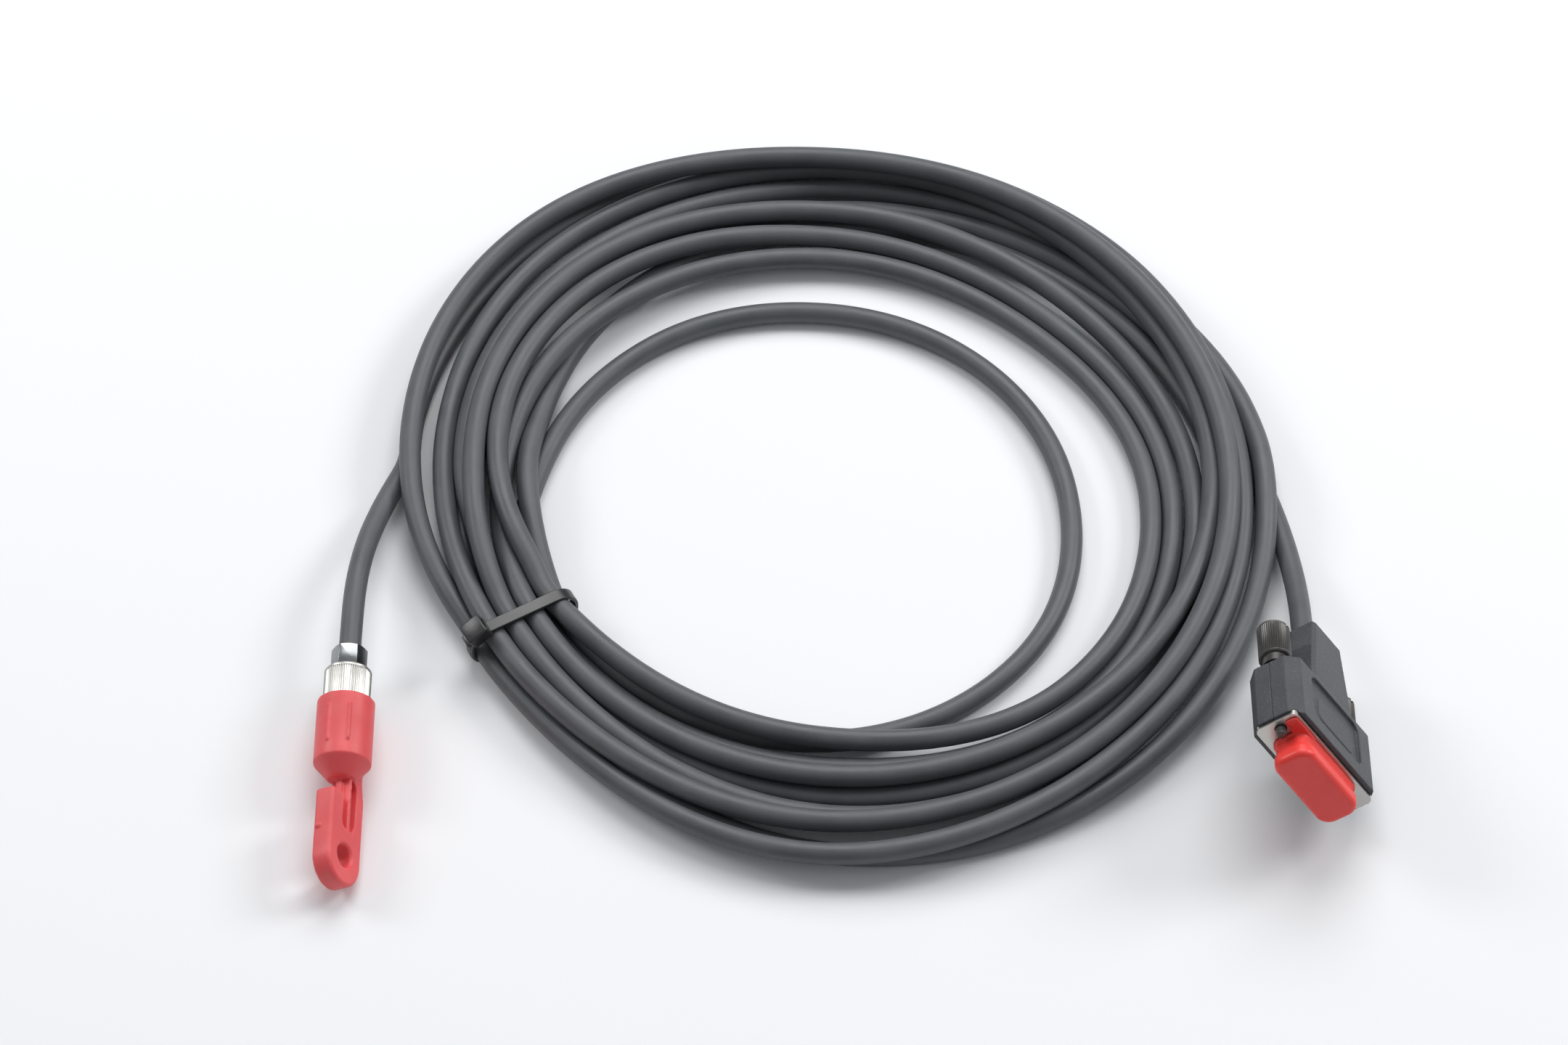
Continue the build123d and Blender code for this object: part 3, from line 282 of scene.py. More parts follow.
@dataclass(frozen=True)
class Finish:
    """One surface finish. Colours are linear, lengths are metres."""

    name: str
    tone: Point
    other_tone: Point
    roughness: tuple[float, float]
    metallic: float = 0.0
    grain_and_glints: float = 4000.0  # grains a metre
    relief: float = 0.00002
    # painted glints: the light colour of the grain's specks, and how much of it is mixed in
    specks_and_glints: Point | None = None
    glint_share: float = 0.3
    # colour of the edge strip: edge wear, and a painted edge highlight where it is lighter than the tone
    wear_and_highlight_tone: Point | None = None
    wear_and_highlight_width: float = 0.0003
    dust: float = 0.0
    stretch: Point = (1.0, 1.0, 1.0)
    specular: float = 0.5
    subsurface: float = 0.0

    def material(self, effects: Effects) -> bpy.types.Material:
        """Builds the finish as a Principled material.

        Args:
            effects: the shared shader groups.

        Returns:
            The material.
        """
        made = bpy.data.materials.new(self.name)
        made.use_nodes = True
        made.diffuse_color = (*self.tone, 1.0)
        graph = Graph(made.node_tree)
        shader = made.node_tree.nodes["Principled BSDF"]
        where = graph.add("ShaderNodeTexCoord").outputs["Object"]
        vector = graph.add("ShaderNodeMapping", None, Vector=where, Scale=self.stretch).outputs[0]
        drift = graph.group(effects.drift, Vector=where, Scale=70.0)
        graph.put(drift.inputs["Tone"], (*self.tone, 1.0))
        graph.put(drift.inputs["Other Tone"], (*self.other_tone, 1.0))
        grain_and_glints = graph.group(effects.grain_and_glints, Vector=vector, Scale=self.grain_and_glints)
        wear_and_highlight = graph.group(effects.wear_and_highlight, Vector=where, Width=self.wear_and_highlight_width)
        colour = drift.outputs["Color"]
        rough = graph.remap(drift.outputs["Cloud"], 0.0, 1.0, *self.roughness)
        # painted glints: light specks in the base colour stand in for the sparkle of the grain
        if self.specks_and_glints:
            share = graph.math("MULTIPLY", grain_and_glints.outputs["Glints"], self.glint_share)
            colour = graph.mix(share, colour, (*self.specks_and_glints, 1.0))
        # edge wear and painted edge highlight: where this colour is lighter than the tone, the edges are
        # painted lighter as if they caught the light
        if self.wear_and_highlight_tone:
            colour = graph.mix(wear_and_highlight.outputs["Mask"], colour, (*self.wear_and_highlight_tone, 1.0))
        if self.dust:
            dust = graph.group(effects.dust, Vector=where, Amount=self.dust)
            colour = graph.mix(dust.outputs["Mask"], colour, (0.45, 0.45, 0.47, 1.0))
            rough = graph.math("ADD", rough, graph.math("MULTIPLY", dust.outputs["Mask"], 0.3))
        bump = graph.add("ShaderNodeBump", None, Strength=1.0, Distance=self.relief)
        graph.put(bump.inputs["Height"], grain_and_glints.outputs["Height"])
        graph.put(bump.inputs["Normal"], wear_and_highlight.outputs["Normal"])
        graph.put(shader.inputs["Base Color"], colour)
        graph.put(shader.inputs["Roughness"], rough)
        graph.put(shader.inputs["Normal"], bump.outputs[0])
        shader.inputs["Metallic"].default_value = self.metallic
        shader.inputs["Specular IOR Level"].default_value = self.specular
        shader.inputs["Subsurface Weight"].default_value = self.subsurface
        shader.inputs["Subsurface Scale"].default_value = 0.002
        return made


DARK_NICKEL = Finish(
    "dark_nickel",
    tone=(0.27, 0.28, 0.28),
    other_tone=(0.22, 0.23, 0.235),
    roughness=(0.20, 0.28),
    metallic=1.0,
    grain_and_glints=1500.0,
    relief=0.000006,
    # edge wear and painted edge highlight: edges much lighter than the tone
    wear_and_highlight_tone=(0.75, 0.74, 0.72),
    wear_and_highlight_width=0.00015,
)

FINISHES = {
    Slot.CABLE: Finish(
        "cable_jacket",
        tone=(0.076, 0.082, 0.088),
        other_tone=(0.094, 0.100, 0.106),
        roughness=(0.40, 0.52),
        grain_and_glints=5200.0,
        relief=0.00003,
        # painted glints on the jacket's grain
        specks_and_glints=(0.13, 0.135, 0.14),
        glint_share=0.25,
        dust=0.05,
    ),
    Slot.HOOD: Finish(
        "hood_plastic",
        tone=(0.055, 0.059, 0.065),
        other_tone=(0.072, 0.076, 0.083),
        roughness=(0.44, 0.56),
        grain_and_glints=2600.0,
        relief=0.00012,
        # painted glints on the hood's grain
        specks_and_glints=(0.28, 0.28, 0.29),
        glint_share=0.42,
        wear_and_highlight_tone=(0.045, 0.045, 0.048),
        wear_and_highlight_width=0.0004,
        dust=0.02,
        specular=0.35,
    ),
    Slot.NICKEL: Finish(
        "nickel",
        tone=(0.52, 0.51, 0.48),
        other_tone=(0.46, 0.45, 0.43),
        roughness=(0.34, 0.44),
        metallic=1.0,
        grain_and_glints=1500.0,
        relief=0.000006,
        stretch=(1.0, 0.2, 1.0),
        # edge wear and painted edge highlight: edges much lighter than the tone
        wear_and_highlight_tone=(0.90, 0.89, 0.86),
        wear_and_highlight_width=0.00015,
    ),
    Slot.INSULATOR: Finish(
        "insulator_plastic",
        tone=(0.030, 0.030, 0.030),
        other_tone=(0.036, 0.036, 0.036),
        roughness=(0.45, 0.55),
    ),
    Slot.GOLD: Finish(
        "gold",
        tone=(0.83, 0.62, 0.25),
        other_tone=(0.76, 0.55, 0.20),
        roughness=(0.18, 0.26),
        metallic=1.0,
        relief=0.000003,
        wear_and_highlight_width=0.0001,
    ),
    Slot.SPRING: Finish(
        "spring_steel",
        tone=(0.50, 0.50, 0.50),
        other_tone=(0.42, 0.42, 0.43),
        roughness=(0.25, 0.38),
        metallic=1.0,
        relief=0.000005,
        stretch=(4.0, 1.0, 1.0),
        wear_and_highlight_width=0.0001,
    ),
    Slot.SCREW: Finish(
        "screw_black",
        tone=(0.100, 0.097, 0.093),
        other_tone=(0.130, 0.126, 0.120),
        roughness=(0.28, 0.42),
        metallic=0.85,
        grain_and_glints=3000.0,
        relief=0.000012,
        # edge wear and painted edge highlight: edges lighter than the tone
        wear_and_highlight_tone=(0.24, 0.23, 0.22),
        wear_and_highlight_width=0.00015,
    ),
    Slot.CAP_BRIGHT: Finish(
        "cap_bright",
        tone=(0.88, 0.050, 0.038),
        other_tone=(0.80, 0.044, 0.036),
        roughness=(0.34, 0.46),
        grain_and_glints=1600.0,
        relief=0.00002,
        subsurface=0.15,
        wear_and_highlight_width=0.0005,
        dust=0.05,
    ),
    Slot.CAP_DULL: Finish(
        "cap_dull",
        tone=(0.80, 0.092, 0.098),
        other_tone=(0.72, 0.080, 0.086),
        roughness=(0.40, 0.54),
        grain_and_glints=1400.0,
        relief=0.00003,
        subsurface=0.10,
        wear_and_highlight_width=0.0005,
        dust=0.10,
    ),
    Slot.SEAL: Finish(
        "seal_rubber",
        tone=(0.020, 0.020, 0.020),
        other_tone=(0.026, 0.026, 0.026),
        roughness=(0.6, 0.7),
    ),
    Slot.TIE: Finish(
        "tie_nylon",
        tone=(0.014, 0.014, 0.015),
        other_tone=(0.018, 0.018, 0.019),
        roughness=(0.24, 0.36),
        grain_and_glints=900.0,
        relief=0.00002,
        # edge wear and painted edge highlight: edges lighter than the tone
        wear_and_highlight_tone=(0.05, 0.05, 0.05),
        wear_and_highlight_width=0.00015,
        specular=0.6,
    ),
}


@dataclass
class Workshop:
    """What every sub-assembly needs: the frame's nodes and the finished materials."""

    nodes: dict[str, bpy.types.Object]
    record: dict
    materials: dict[Slot, bpy.types.Material] = field(default_factory=dict)
    nut_material: bpy.types.Material | None = None

    def mix_finishes(self) -> None:
        """Builds every finish as a material."""
        effects = Effects()
        self.materials = {slot: finish.material(effects) for slot, finish in FINISHES.items()}
        self.nut_material = DARK_NICKEL.material(effects)

    def dress(self, piece: bpy.types.Object, slot: Slot) -> None:
        """Gives a piece one material in its first slot."""
        if piece.data.materials:
            piece.data.materials[0] = self.materials[slot]
        else:
            piece.data.materials.append(self.materials[slot])

    def dress_frame(self) -> None:
        """Gives every CAD node the finish of its own slot in the record."""
        for part in self.record["subparts"]:
            node = self.nodes[part["node"]]
            node.data.materials.clear()
            node.data.materials.append(self.materials[Slot(part["material_slot"])])

    def deliver(self, piece: bpy.types.Object, slot: Slot, body: str, *stands_for: str) -> None:
        """Finishes a piece: dress it, ride it on its body and hide the nodes that it stands for."""
        self.dress(piece, slot)
        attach(piece, body)
        if stands_for:
            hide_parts(*stands_for)
        log.info("%s: %d faces, rides on %s", piece.name, len(getattr(piece.data, "polygons", ())), body)


# ---- places and mesh making ----


@dataclass(frozen=True)
class Place:
    """Where a piece modelled upright in its own frame goes. Millimetres, by the table marks."""

    origin: Point
    x_lean: Point
    z_axis: Point

    def matrix(self) -> Matrix:
        """The turn and shift from the piece's frame, in metres, to the row frame."""
        along = Vector(self.z_axis).normalized()
        side = Vector(self.x_lean)
        side = (side - along * side.dot(along)).normalized()
        turn = Matrix((side, along.cross(side), along)).transposed().to_4x4()
        return Matrix.Translation((Vector(self.origin) + FRAME_SHIFT) * MM) @ turn

    def along(self, distance: float) -> Point:
        """The point at a distance in mm along the axis, by the table marks."""
        return tuple(Vector(self.origin) + Vector(self.z_axis).normalized() * distance)


def link(name: str, mesh: bpy.types.ID) -> bpy.types.Object:
    """Makes an object of a mesh or curve, in the scene's own collection."""
    piece = bpy.data.objects.new(name, mesh)
    bpy.context.scene.collection.objects.link(piece)
    return piece


def linked_shape(name: str, shape: bmesh.types.BMesh) -> bpy.types.Object:
    """Makes an object of a drawn shape and frees the shape."""
    mesh = bpy.data.meshes.new(name)
    shape.to_mesh(mesh)
    shape.free()
    return link(name, mesh)


def settle_modifiers(piece: bpy.types.Object) -> None:
    """Turns a piece with modifiers into its plain finished mesh."""
    graph = bpy.context.evaluated_depsgraph_get()
    graph.update()
    made = bpy.data.meshes.new_from_object(piece.evaluated_get(graph))
    piece.modifiers.clear()
    piece.data = made


def smooth_faces(mesh: bpy.types.Mesh, crease: float = 35.0) -> None:
    """Shades a mesh smooth, with edges sharper than a number of degrees kept."""
    mesh.polygons.foreach_set("use_smooth", [True] * len(mesh.polygons))
    mesh.set_sharp_from_angle(angle=math.radians(crease))


def copy_of(node: bpy.types.Object, name: str) -> bpy.types.Object:
    """A new object with a merged copy of a CAD node's mesh."""
    mesh = node.data.copy()
    mesh.name = name
    mesh.materials.clear()
    shape = bmesh.new()
    shape.from_mesh(mesh)
    bmesh.ops.remove_doubles(shape, verts=shape.verts, dist=1e-7)
    shape.to_mesh(mesh)
    shape.free()
    if mesh.attributes.get("custom_normal"):
        mesh.attributes.remove(mesh.attributes["custom_normal"])
    return link(name, mesh)


@dataclass(frozen=True)
class SoftSpot:
    """A place on a moulded piece that flows together more than the rest. Metres."""

    middle: Point
    reach: float
    rounds: int


def moulded(
    node: bpy.types.Object,
    name: str,
    voxel: float,
    rounds: int,
    keep: float,
    spot: SoftSpot | None = None,
    extras: tuple[bpy.types.Object, ...] = (),
) -> bpy.types.Object:
    """A copy of a CAD solid with every edge softened as a mould leaves it.

    Args:
        node: the CAD node.
        name: the new piece's name.
        voxel: size of the cells it is made again from, in metres.
        rounds: passes of smoothing.
        keep: share of the faces that is kept at the end.
        spot: a place that gets more passes.
        extras: small shapes that melt into the piece.

    Returns:
        The new piece.
    """
    piece = join(name, [copy_of(node, f"{name}_copy"), *extras])
    remesh = piece.modifiers.new("cells", "REMESH")
    remesh.mode = "VOXEL"
    remesh.voxel_size = voxel
    remesh.adaptivity = 0.0
    soften = piece.modifiers.new("soften", "SMOOTH")
    soften.factor = 0.5
    soften.iterations = rounds
    settle_modifiers(piece)
    if spot:
        group = piece.vertex_groups.new(name="spot")
        middle = Vector(spot.middle)
        for vertex in piece.data.vertices:
            near = 1.0 - (vertex.co - middle).length / spot.reach
            if near > 0.0:
                group.add([vertex.index], min(1.0, 2.5 * near), "REPLACE")
        flow = piece.modifiers.new("flow", "SMOOTH")
        flow.vertex_group = group.name
        flow.factor = 0.5
        flow.iterations = spot.rounds
    thin = piece.modifiers.new("thin", "DECIMATE")
    thin.ratio = keep
    settle_modifiers(piece)
    smooth_faces(piece.data, 60.0)
    return piece


def bevelled(node: bpy.types.Object, name: str, width: float) -> bpy.types.Object:
    """A copy of a machined CAD solid with its sharp edges broken by a small round."""
    piece = copy_of(node, name)
    shape = bmesh.new()
    shape.from_mesh(piece.data)
    flat = math.radians(0.4)
    bmesh.ops.dissolve_limit(shape, angle_limit=flat, verts=shape.verts, edges=shape.edges)
    shape.to_mesh(piece.data)
    shape.free()
    bevel = piece.modifiers.new("edges", "BEVEL")
    bevel.width = width
    bevel.segments = 2
    bevel.limit_method = "ANGLE"
    bevel.angle_limit = math.radians(35)
    settle_modifiers(piece)
    smooth_faces(piece.data)
    return piece


def lathe(name: str, profile: list[tuple[float, float]], steps: int, closed: bool) -> bpy.types.Object:
    """Turns a profile round Z.

    Args:
        name: the new piece's name.
        profile: (radius, height) pairs in mm, with a radius of 0 only at the two ends.
        steps: faces round the circle.
        closed: True where the profile is a closed loop, as for a ring.

    Returns:
        The new piece, in its own upright frame.
    """
    shape = bmesh.new()
    rings = []
    for radius, height in profile:
        if radius == 0:
            rings.append([shape.verts.new((0, 0, height * MM))])
            continue
        angles = [2 * math.pi * step / steps for step in range(steps)]
        corners = [(radius * math.cos(a) * MM, radius * math.sin(a) * MM, height * MM) for a in angles]
        rings.append([shape.verts.new(corner) for corner in corners])
    pairs = list(zip(rings, rings[1:]))
    if closed:
        pairs.append((rings[-1], rings[0]))
    for low, high in pairs:
        for step in range(steps):
            following = (step + 1) % steps
            corners = [low[step % len(low)], low[following % len(low)]]
            corners += [high[following % len(high)], high[step % len(high)]]
            shape.faces.new(list(dict.fromkeys(corners)))
    bmesh.ops.recalc_face_normals(shape, faces=shape.faces)
    return linked_shape(name, shape)


def block(name: str, size: Point, centre: Point, edge: float) -> bpy.types.Object:
    """A block with rounded edges, in mm."""
    shape = bmesh.new()
    bmesh.ops.create_cube(shape, size=1.0)
    bmesh.ops.scale(shape, vec=Vector(size) * MM, verts=shape.verts)
    bmesh.ops.translate(shape, vec=Vector(centre) * MM, verts=shape.verts)
    if edge:
        bmesh.ops.bevel(shape, geom=shape.edges[:], offset=edge * MM, segments=3, profile=0.5, affect="EDGES")
    return linked_shape(name, shape)


def cut(piece: bpy.types.Object, tool: bpy.types.Object) -> None:
    """Cuts a tool's shape out of a piece and removes the tool."""
    slot = piece.modifiers.new("cut", "BOOLEAN")
    slot.operation = "DIFFERENCE"
    slot.solver = "EXACT"
    slot.object = tool
    settle_modifiers(piece)
    bpy.data.objects.remove(tool)


def join(name: str, pieces: list[bpy.types.Object]) -> bpy.types.Object:
    """Makes one piece of several that lie in the same frame."""
    shape = bmesh.new()
    for piece in pieces:
        shape.from_mesh(piece.data)
        bpy.data.objects.remove(piece)
    return linked_shape(name, shape)


class GrooveTree:
    """Geometry Nodes that press straight grooves into the round side of a turned piece."""

    def __init__(self, name: str) -> None:
        """Builds the tree. Its sizes are inputs, in metres."""
        sizes = {"Count": 60.0, "Radius": 0.006, "Start": 0.0, "End": 0.01}
        sizes |= {"Depth": 0.0002, "Run Out": 0.0003}
        inputs = {"Geometry": ("NodeSocketGeometry", None)}
        inputs |= {label: (FLOAT, value) for label, value in sizes.items()}
        inputs["Material"] = ("NodeSocketMaterial", None)
        graph, given, out = new_group(name, "GeometryNodeTree", inputs, {"Geometry": "NodeSocketGeometry"})
        place = graph.add("GeometryNodeInputPosition").outputs[0]
        parts = graph.split(place)
        flat = graph.add("ShaderNodeCombineXYZ", None, X=parts[0], Y=parts[1]).outputs[0]
        radius = graph.vector_math("LENGTH", i0=flat)["Value"]
        angle = graph.math("ARCTAN2", parts[1], parts[0])
        turns = graph.math("DIVIDE", graph.math("MULTIPLY", angle, given.outputs["Count"]), 2 * math.pi)
        wave = graph.math("ABSOLUTE", graph.math("SUBTRACT", graph.math("FRACT", turns), 0.5))
        groove = graph.remap(wave, 0.10, 0.40, 1.0, 0.0)
        rim = graph.math("SUBTRACT", given.outputs["Radius"], 0.0001)
        outside = graph.math("GREATER_THAN", radius, rim)
        run_out = given.outputs["Run Out"]
        rise = graph.math("DIVIDE", graph.math("SUBTRACT", parts[2], given.outputs["Start"]), run_out)
        fall = graph.math("DIVIDE", graph.math("SUBTRACT", given.outputs["End"], parts[2]), run_out)
        ends = graph.remap(graph.math("MINIMUM", rise, fall), 0.0, 1.0, 0.0, 1.0)
        amount = graph.math("MULTIPLY", graph.math("MULTIPLY", groove, ends), outside)
        inward = graph.math("MULTIPLY", graph.math("MULTIPLY", amount, given.outputs["Depth"]), -1.0)
        radial = graph.vector_math("NORMALIZE", i0=flat)[0]
        offset = graph.vector_math("SCALE", i0=radial, Scale=inward)[0]
        moved = graph.add("GeometryNodeSetPosition", None, Geometry=given.outputs["Geometry"], Offset=offset)
        graph.finish_geometry(moved.outputs[0], given, out)
        self.tree = graph.tree

    def press(
        self, piece: bpy.types.Object, material: bpy.types.Material, count: int, **sizes: float
    ) -> None:
        """Presses the grooves into a piece.

        Args:
            piece: the turned piece, upright in its own frame.
            material: the finish that it gets.
            count: grooves round the piece.
            sizes: the tree's other inputs in mm by name, with spaces as underscores.
        """
        metres = {label: size * MM for label, size in sizes.items()}
        run_tree(piece, self.tree, material, {"Count": float(count)} | metres)


def run_tree(
    piece: bpy.types.Object, tree: bpy.types.NodeTree, material: bpy.types.Material, sizes: dict[str, float]
) -> None:
    """Runs a geometry tree on a piece and keeps the result as its plain mesh."""
    modifier = piece.modifiers.new(tree.name, "NODES")
    modifier.node_group = tree
    identifiers = {
        item.name: item.identifier for item in tree.interface.items_tree if item.in_out == "INPUT"
    }
    for label, value in sizes.items():
        modifier[identifiers[label.replace("_", " ")]] = value
    modifier[identifiers["Material"]] = material
    settle_modifiers(piece)


# ---- stage ----


@dataclass
class Studio:
    """A white table, a room that brightens upwards, soft panels, and the camera. Mm and degrees."""

    look_at: Point = (0.0, 0.0, 0.0)
    distance: float = 1450.0
    elevation: float = 55.0
    sensor: float = 36.0
    lens: float = 120.83
    horizon: float = 0.10
    ceiling: float = 0.42

    def build(self) -> None:
        """Makes the camera, the table and the lights."""
        self._camera()
        self._table()
        self._lights()

    def _camera(self) -> None:
        """A long lens that looks down at the coil."""
        data = bpy.data.cameras.new("camera")
        data.sensor_width = self.sensor
        data.lens = self.lens
        data.clip_start = 0.05
        data.clip_end = 50.0
        camera = link("camera", data)
        target = (Vector(self.look_at) + FRAME_SHIFT) * MM
        rise = math.radians(self.elevation)
        back = Vector((0.0, -math.cos(rise), math.sin(rise)))
        camera.location = target + back * self.distance * MM
        camera.rotation_euler = (-back).to_track_quat("-Z", "Y").to_euler()
        bpy.context.scene.camera = camera

    def _table(self) -> None:
        """A wide seamless white table."""
        shape = bmesh.new()
        bmesh.ops.create_grid(shape, x_segments=1, y_segments=1, size=6.0)
        table = linked_shape("table", shape)
        made = bpy.data.materials.new("white_table")
        made.use_nodes = True
        graph = Graph(made.node_tree)
        where = graph.add("ShaderNodeTexCoord").outputs["Object"]
        cloud = graph.noise(where, 3.0, 2.0)
        tone = graph.mix(cloud, (0.86, 0.87, 0.885, 1.0), (0.88, 0.885, 0.895, 1.0))
        shader = made.node_tree.nodes["Principled BSDF"]
        graph.put(shader.inputs["Base Color"], tone)
        shader.inputs["Roughness"].default_value = 0.75
        shader.inputs["Specular IOR Level"].default_value = 0.2
        table.data.materials.append(made)

    def _lights(self) -> None:
        """A room that is darker at its horizon, with soft panels behind and on both sides."""
        world = bpy.data.worlds.new("room")
        world.use_nodes = True
        graph = Graph(world.node_tree)
        ways = graph.add("ShaderNodeTexCoord").outputs["Generated"]
        rise = graph.split(ways)[2]
        room = world.node_tree.nodes["Background"]
        room.inputs[0].default_value = (0.93, 0.96, 1.0, 1.0)
        graph.put(room.inputs[1], graph.remap(rise, 0.0, 0.8, self.horizon, self.ceiling))
        bpy.context.scene.world = world
        bpy.context.scene.view_settings.view_transform = "Standard"
        centre = FRAME_SHIFT * MM
        for name, place, size, power in (
            ("back_panel", (0.15, 1.2, 1.75), 1.5, 28.0),
            ("left_panel", (-1.5, 0.6, 1.1), 0.6, 9.0),
            ("right_panel", (1.5, 0.6, 1.1), 0.6, 14.0),
        ):
            data = bpy.data.lights.new(name, "AREA")
            data.size = size
            data.energy = power
            lamp = link(name, data)
            lamp.location = centre + Vector(place)
            lamp.rotation_euler = (-Vector(place)).to_track_quat("-Z", "Y").to_euler()


# ---- cable ----

ROUND_PLACE = Place((-116.4, -50.4, 12.34), (1.0, 0.0, 0.0), (-0.016, -0.997, -0.076))
TAB_PLACE = Place((-116.4, -50.4, 12.34), (-0.87, -0.05, -0.5), (-0.016, -0.997, -0.076))
DSUB_PLACE = Place((139.0, -51.35, 15.6), (0.572, -0.209, -0.793), (-0.013, -0.974, 0.225))
COIL_MIDDLE = (12.0, 8.0)
TIE_BEARING = 209.5
TIE_RADIUS = 95.0


@dataclass(frozen=True)
class Turn:
    """One turn of the coil: how high it was laid and its radius in mm every 45 degrees."""

    layer: int
    radii: tuple[float, ...]


@dataclass
class CableCoil:
    """The cable: two tails, eight turns held by the tie and one that has slipped loose."""

    diameter: float = 6.0
    step: int = 5  # degrees between the line's points
    start: int = 10  # degrees, where the coil takes over from the D-sub tail
    end: int = 9 * 360 + 170  # degrees, where the round plug's tail takes over
    layer_height: float = 1.6
    spacing: float = 1.01  # diameters kept between turns
    passes: int = 500
    last_passes: int = 60
    tie_lift: float = 1.15
    tie_half_width: float = 11.7
    tie_top: float = 9.6
    tie_reach: float = 6.0  # degrees each side of the tie
    turns: tuple[Turn, ...] = (
        Turn(0, (115, 106, 100, 100, 98, 104, 117, 121)),
        Turn(1, (117, 109, 107, 107, 101, 94, 99, 103)),
        Turn(6, (101, 94, 95, 101, 98, 98.5, 105, 106)),
        Turn(2, (108, 99, 92, 89, 84, 82, 83, 77)),
        Turn(1, (66.5, 61, 62, 70, 79, 86, 90, 99)),
        Turn(5, (95, 85, 86, 93, 90, 81, 84, 95)),
        Turn(3, (92, 81.5, 81, 84, 87, 90.5, 96, 102)),
        Turn(7, (107, 108, 112, 113, 104, 102, 109, 111)),
        Turn(8, (111, 109, 111, 122.5, 118, 109, 119, 115)),
        Turn(2, (112, 110, 112, 117.5, 117, 117, 117, 117)),
    )
    dsub_tail: tuple[Point, ...] = (
        DSUB_PLACE.along(10.5),
        DSUB_PLACE.along(-6),
        (139.2, -32, 9.6),
        (138.2, -19, 6.2),
        (136.2, -6, 3.8),
        (133.2, 6, 3.1),
        (129.4, 17, 3.05),
    )
    round_tail: tuple[Point, ...] = (
        ROUND_PLACE.along(10.6),
        ROUND_PLACE.along(-8),
        (-115.8, -29, 12.6),
        (-114.3, -16, 10.2),
        (-111.8, -4, 6.8),
        (-108.2, 7.5, 4.2),
        (-103.6, 18, 3.3),
    )

    def _wanted(self) -> tuple[np.ndarray, np.ndarray, np.ndarray]:
        """The line that the turns would take if they could pass through each other.

        Returns:
            Bearings in degrees, radii and heights in mm.
        """
        radii = np.array([radius for turn in self.turns for radius in turn.radii], float)
        radius_now = self.diameter / 2
        heights = np.repeat([radius_now + self.layer_height * turn.layer for turn in self.turns], 8)
        bearings = np.arange(self.start, self.end + 1, self.step)
        place = bearings / 45.0
        index = np.clip(np.floor(place).astype(int), 0, len(radii) - 2)
        share = place - index
        before, here, after, later = (radii[np.clip(index + k, 0, len(radii) - 1)] for k in (-1, 0, 1, 2))
        curve = 2 * here + (after - before) * share
        curve += (2 * before - 5 * here + 4 * after - later) * share**2
        curve += (3 * here - before - 3 * after + later) * share**3
        return bearings, curve / 2, np.interp(place, np.arange(len(heights)), heights)

    def _tail_stations(self, tail: tuple[Point, ...], turn: int, low: int, high: int) -> tuple:
        """Radii and heights of a tail where it runs beside the coil.

        Args:
            tail: the tail's points, from its plug to the coil.
            turn: the whole turns before it, in degrees.
            low: first bearing in degrees, less those turns.
            high: bearing after the last one.

        Returns:
            Bearings, radii and heights.
        """
        middle = np.array([*COIL_MIDDLE, 0.0])
        points = np.array(tail[2:], float) - middle
        bearing = np.degrees(np.arctan2(points[:, 1], points[:, 0]))
        bearing = np.where(bearing < -90, bearing + 360, bearing)
        order = np.argsort(bearing)
        stations = np.arange(low, high, self.step)
        radius = np.interp(stations, bearing[order], np.hypot(points[:, 0], points[:, 1])[order])
        height = np.interp(stations, bearing[order], points[order, 2])
        return stations + turn, radius, height

    def wind(self) -> np.ndarray:
        """Lets the turns settle on and beside each other.

        Returns:
            The settled line's points in mm, by the table marks.
        """
        bearing, radius, height = self._wanted()
        wanted = radius.copy()
        first = self._tail_stations(self.dsub_tail, 0, -15, self.start)
        turns_done = self.end // 360 * 360
        last = self._tail_stations(self.round_tail, turns_done, self.end % 360 + self.step, 191)
        free = np.repeat([False, True, False], [len(first[0]), len(bearing), len(last[0])])
        bearing = np.concatenate([first[0], bearing, last[0]])
        height = np.concatenate([first[2], height, last[2]])
        wanted = np.concatenate([first[1], wanted, last[1]])
        radius = wanted.copy()
        one, other = self._neighbours(bearing)
        movable = free.astype(float)
        near_tie = free & (np.abs((bearing - TIE_BEARING + 180) % 360 - 180) < self.tie_reach)
        lowest = self.diameter / 2 + np.where(near_tie, self.tie_lift, 0.0)

        def push(gain: float) -> None:
            """Moves turns that lie in each other apart, each by half of what they share."""
            slope = np.gradient(radius) / (math.radians(self.step) * radius)
            square = 1 / np.sqrt(1 + (slope[one] - slope[other]) ** 2)
            across = (radius[one] - radius[other]) * square
            above = height[one] - height[other]
            apart = np.hypot(across, above) + 1e-9
            shared = np.clip(self.diameter * self.spacing - apart, 0, None)
            hit = shared > 0
            weight = movable[one] + movable[other] + 1e-9
            for line, part in ((radius, across), (height, above)):
                move = part / apart * shared * gain
                total = np.zeros_like(line)
                count = np.zeros_like(line)
                np.add.at(total, one[hit], (move * movable[one] / weight)[hit])
                np.add.at(total, other[hit], (-move * movable[other] / weight)[hit])
                np.add.at(count, one[hit], 1)
                np.add.at(count, other[hit], 1)
                line += total / np.maximum(1, np.sqrt(count))

        def relax(line: np.ndarray, base: np.ndarray) -> np.ndarray:
            """Evens a line out along its length, where it is free to move."""
            over = line - base
            even = over.copy()
            even[1:-1] += 0.6 * ((over[:-2] + over[2:]) / 2 - over[1:-1])
            return np.where(free, even, over) + base

